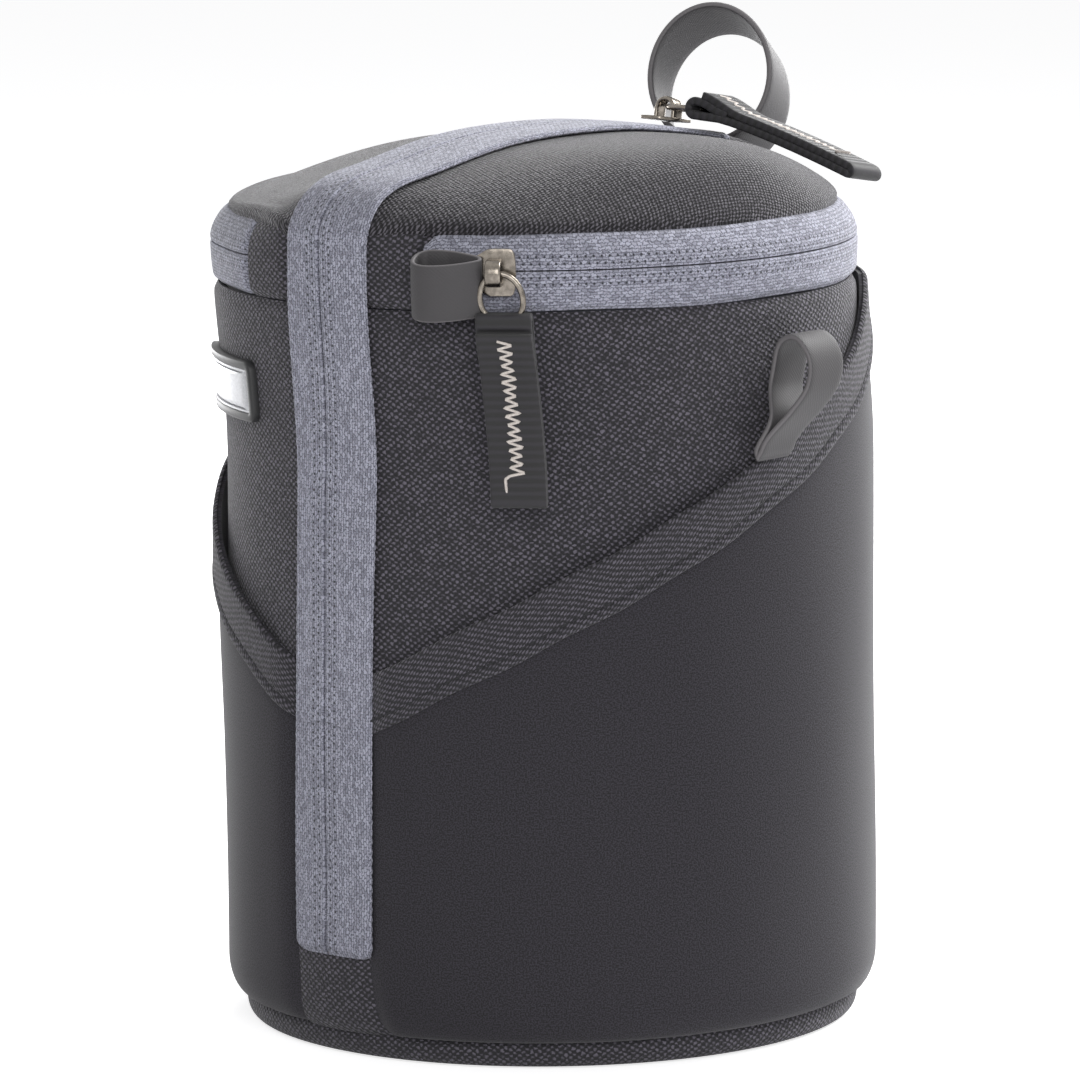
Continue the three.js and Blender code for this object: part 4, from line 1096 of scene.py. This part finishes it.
def slider_parts(lead):
    """Slider on its own axes, x along the chain, y across, z out: a plate with a square tail, and a crown.

    The plate is a rounded bar whose half width eases from nose to tail; the crown is a strap bent to an
    arch, and lead moves it across the plate, to the side that the pull hangs on.
    """
    at = np.linspace(-1, 1, 40)
    x = 4.5 * np.sign(at) * (1 - (1 - np.abs(at)) ** 1.7)
    half = 2.7 + 1.8 * ease((x + 4.3) / 4.2)
    half = half * np.sqrt(np.clip(1 - np.abs(x / 4.52) ** 14, 0.02, 1))
    profile = bar_profile(2, 2, 0.4, steps=4, face=8)
    points = np.empty((len(x), len(profile), 3))
    points[..., 0] = x[:, None]
    points[..., 1] = profile[:, 0] * half[:, None]
    points[..., 2] = 1.6 + 0.4 * profile[:, 1]
    parts = [swept(points)]
    span = np.linspace(0, np.pi, 30)
    arch = np.stack([0 * span + 0.5, lead - 2.2 * np.cos(span), 1.8 + 3.9 * np.sin(span) ** 0.5], -1)
    parts.append(strap(even(arch, 40), (1, 0, 0), 3.0, 0.9, corner=0.4, face=4))
    return parts


def moved(parts, origin, first, second, third):
    """The same parts set on other axes."""
    return [(in_frame(points, origin, first, second, third), *rest) for points, *rest in parts]


def ring_part(hang):
    """Pull ring on the slider's axes: a round wire bent to an oval, that hangs a little askew."""
    turn = full_turn(56)
    down = (1 - np.cos(turn)) / 2
    path = np.stack([1.6 + RING * np.sin(turn) + hang * down, RING_FOOT * down, 0 * turn + WIRE_LIFT], -1)
    return wire(path, 0.58, 12, ring=True)


def tab_parts(start, sway, droop):
    """Pull tab on the slider's axes: ribbed webbing round the ring's far wire, folded at its end and sewn.

    Its line runs from inside, round the wire, down the back, round the free end and up the front to the
    ring. start and sway move it sideways at its two ends, and droop lets it hang inwards.
    """
    bottom = RING_FOOT

    def hung(x, y, z):
        """Points of the flat tab as it hangs: moved in proportion towards its free end."""
        hang = np.clip((bottom - y) / 35, 0, 1)
        return np.stack([x + start + (sway - start) * hang, y, WIRE_LIFT + z - droop * hang**1.3], -1)

    turn = np.linspace(0, np.pi, 16)
    inside = np.array([(bottom - 7, 0.15), (bottom - 4, 0.6), (bottom - 2, 1.25)])
    round_wire = np.stack([bottom + 1.5 * np.sin(turn), 1.5 * np.cos(turn)], -1)
    back = np.array([(bottom - 2, -1.25), (bottom - 5, -0.9), (bottom - 8, -0.8), (bottom - 32.5, -0.8)])
    round_end = np.stack([bottom - 33 - 0.8 * np.sin(turn), -0.8 * np.cos(turn)], -1)
    up = np.linspace(bottom - 32.5, bottom - 1.4, 50)
    front = np.stack([up, 0.8 + 1.95 * ease((up - bottom + 10) / 9)], -1)
    line = even(np.concatenate([inside, round_wire, back, round_end, front]), 620)
    y, z = [smoothed(axis) for axis in line.T]
    webbing = strap(hung(0, y, z), (1, 0, 0), 10.6, 1.6, corner=0.35, face=8, ribs=(RIB, 0.05))
    rows = np.arange(33)
    y = bottom - 2.8 - rows * 0.8 - 0.1 * np.sin(rows * 3.1)
    x = np.where(rows % 2 == 0, -1.3, 1.3) + 0.2 * np.sin(rows * 2.3)
    zigzag = hung(x, y, np.interp(y, up, front[:, 1]) + 0.74)
    loose = zigzag[-1] + np.array([(-0.8, -0.6, 0.2), (-0.7, -2.2, 0.2), (-0.5, -3.6, 0.1)])
    thread = wire(even(np.concatenate([zigzag, loose]), 240), 0.3, 6)
    return [webbing], [thread]


def pulls():
    """Both sliders with their rings, tabs and the zigzag sewing on the tabs."""
    turn = LID_SLIDER
    along = np.array([np.cos(turn), np.sin(turn), 0])
    lid_axes = (around(turn, BAND, CHAIN), along, np.array([0, 0, 1.0]), around(turn, 1.0, 0.0))
    # The front slider's place on the ridge: out of the lid, and ahead along the zip
    out = np.array([0, 0.158824, 0.987307])
    ahead = np.array([0, 0.987307, -0.158824])
    front_axes = (np.array([0, FRONT_SLIDER_Y, ridge(FRONT_SLIDER_Y)]), ahead, np.array([-1.0, 0, 0]), out)
    # Zip, axes, the crown's lead, the pull's turn, and its tab's start, sway and droop
    both = (("lid", lid_axes, 0.0, 0.0, (2.3, 3.1, -2.6)),
            ("front", front_axes, -0.9, FRONT_PULL_TURN, (0.6, 7.6, 10.5)))
    for zip_name, axes, lead, swing, bend in both:
        slider = piece(f"{zip_name}_slider_body", moved(slider_parts(lead), *axes), NICKEL)
        place(slider, f"{zip_name}_zip_slider", "nickel", f"{zip_name}_zip_slider")
        first = axes[1] * np.cos(swing) - axes[2] * np.sin(swing)
        second = axes[2] * np.cos(swing) + axes[1] * np.sin(swing)
        axes = (axes[0] + lead * axes[2], first, second, axes[3])
        ring = piece(f"{zip_name}_ring_wire", moved([ring_part(0.5 * (bend[0] - 1))], *axes), NICKEL)
        place(ring, f"{zip_name}_pull_ring", "nickel", f"{zip_name}_pull_ring")
        webbing, thread = tab_parts(*bend)
        tab = piece(f"{zip_name}_tab_webbing", moved(webbing, *axes), GROSGRAIN)
        place(tab, f"{zip_name}_pull_tab", "black_webbing", f"{zip_name}_pull_tab")
        sewn = piece(f"{zip_name}_tab_zigzag", moved(thread, *axes), CREAM)
        place(sewn, f"{zip_name}_pull_tab", "black_webbing")
        if zip_name == "front":
            for soft in (tab, sewn):
                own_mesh(soft)


def zip_stops():
    """The small stops at the zips' ends keep their solids and take the nickel."""
    for name in ("lid_zip_stop_right", "lid_zip_stop_left", "front_zip_bottom_stop", "front_zip_top_stop"):
        solid = bpy.data.objects[name]
        solid.data.materials.clear()
        solid.data.materials.append(NICKEL)


woven_wall()
wall_liner()
base_shell()
base_liner()
knit_pocket()
pocket_binding(1, "pocket_binding_right")
pocket_binding(-1, "pocket_binding_left")
end_patch()
lid_tape(-1, "lid_tape_lower", "pouch_body", "lid_zip_tape_lower")
lid_tape(1, "lid_tape_upper", "lid", "lid_zip_tape_upper")
lid_coils()
hinge_gusset(1, ["hinge_gusset_lower_right", "hinge_gusset_upper_right"])
hinge_gusset(-1, ["hinge_gusset_lower_left", "hinge_gusset_upper_left"])
front_tape(1, ["front_zip_tape_right", "lid_front_tape_right"])
front_tape(-1, ["front_zip_tape_left", "lid_front_tape_left"])
front_coils()
lid_dome()
lid_liner()
badge_surround()
badge_face()
garage_loop()
side_loop(1, "side_loop_right")
side_loop(-1, "side_loop_left")
carry_loop()
carry_foot()
belt_loop()
pulls()
zip_stops()


# Camera, floor and light


def stand(name, data, at, right, up, back):
    """Put a camera or a lamp in the scene at a point, on axes of its own."""
    made = bpy.data.objects.new(name, data)
    axes = Matrix.Identity(4)
    for column, axis in enumerate((right, up, back)):
        for row in range(3):
            axes[row][column] = axis[row]
    axes.translation = at
    made.matrix_world = axes
    bpy.context.scene.collection.objects.link(made)
    return made


def photo_camera():
    """Camera at the photograph's place: 40 degrees round from the front, looking down, rolled a touch."""
    azimuth, pitch, roll = np.radians(40), np.radians(8.758), np.radians(-0.6)
    forward = np.array([-np.sin(azimuth) * np.cos(pitch), np.cos(azimuth) * np.cos(pitch), -np.sin(pitch)])
    level = np.array([np.cos(azimuth), np.sin(azimuth), 0])
    up = np.cross(level, forward)
    right = np.cos(roll) * level + np.sin(roll) * up
    top = np.cos(roll) * up - np.sin(roll) * level
    data = bpy.data.cameras.new("photo camera")
    data.lens = 254.13
    data.sensor_width = 36
    data.shift_x = -0.0074
    data.shift_y = 0.02259
    data.clip_end = 50
    at = (0.95626, -1.13963, 0.31748)
    bpy.context.scene.camera = stand("photo camera", data, at, right, top, -forward)


def seen_rays(tree, first, *others):
    """1 on rays of the given kinds, 0 on all others."""
    path = add(tree, "ShaderNodeLightPath")
    seen = path[f"Is {first} Ray"]
    for kind in others:
        seen = reckon(tree, "MAXIMUM", seen, path[f"Is {kind} Ray"])
    return seen


def floor():
    """Plain white floor that keeps the pouch's shadow: matt, with some light of its own for the camera."""
    mesh = bpy.data.meshes.new("floor")
    half, low = 8, -0.0004
    corners = [(-half, -half, low), (half, -half, low), (half, half, low), (-half, half, low)]
    mesh.from_pydata(corners, [], [(0, 1, 2, 3)])
    material = bpy.data.materials.new("white paper sweep")
    material.use_nodes = True
    tree = material.node_tree
    tree.nodes.clear()
    level = reckon(tree, "MULTIPLY", seen_rays(tree, "Camera", "Glossy"), 0.74)
    matt = add(tree, "ShaderNodeBsdfDiffuse", {"Color": srgb("#e8e8ea")})[0]
    glow = add(tree, "ShaderNodeEmission", {"Color": (1, 1, 1, 1), "Strength": level})[0]
    both = add(tree, "ShaderNodeAddShader", {0: matt, 1: glow})[0]
    add(tree, "ShaderNodeOutputMaterial", {"Surface": both})
    mesh.materials.append(material)
    made = bpy.data.objects.new("floor", mesh)
    bpy.context.scene.collection.objects.link(made)


def lamp(name, place_at, aim, size, power):
    """Soft square lamp aimed at a point, in metres and watts."""
    data = bpy.data.lights.new(name, "AREA")
    data.size = size
    data.energy = power
    back = unit(np.array(place_at) - np.array(aim))
    right = unit(np.cross([0, 0, 1.0], back))
    made = stand(name, data, place_at, right, np.cross(back, right), back)


def studio():
    """White surroundings for the camera and shiny parts, a dimmer fill, and soft lamps all round."""
    world = bpy.data.worlds.new("studio")
    world.use_nodes = True
    tree = world.node_tree
    tree.nodes.clear()
    seen = seen_rays(tree, "Camera", "Glossy", "Transmission")
    range_of = {"Value": seen, "To Min": 0.25, "To Max": 1.0}
    strength = add(tree, "ShaderNodeMapRange", range_of)[0]
    sky = add(tree, "ShaderNodeBackground", {"Color": (1, 1, 1, 1), "Strength": strength})[0]
    add(tree, "ShaderNodeOutputWorld", {"Surface": sky})
    bpy.context.scene.world = world
    middle = (0, 0, 0.09)
    lamp("left lamp", (-1.0, 0.35, 0.02), middle, 0.45, 7)
    lamp("right lamp", (-0.15, 1.05, 0.2), middle, 0.45, 4)
    lamp("top lamp", (0.35, 0.85, 0.9), middle, 0.5, 16)
    lamp("front fill", (0.95, -1.0, 0.7), middle, 0.8, 9.2)
    lamp("back lamp", (-0.5, 0.85, 0.55), middle, 0.5, 6)


photo_camera()
floor()
studio()
bpy.context.scene.view_settings.view_transform = "Standard"
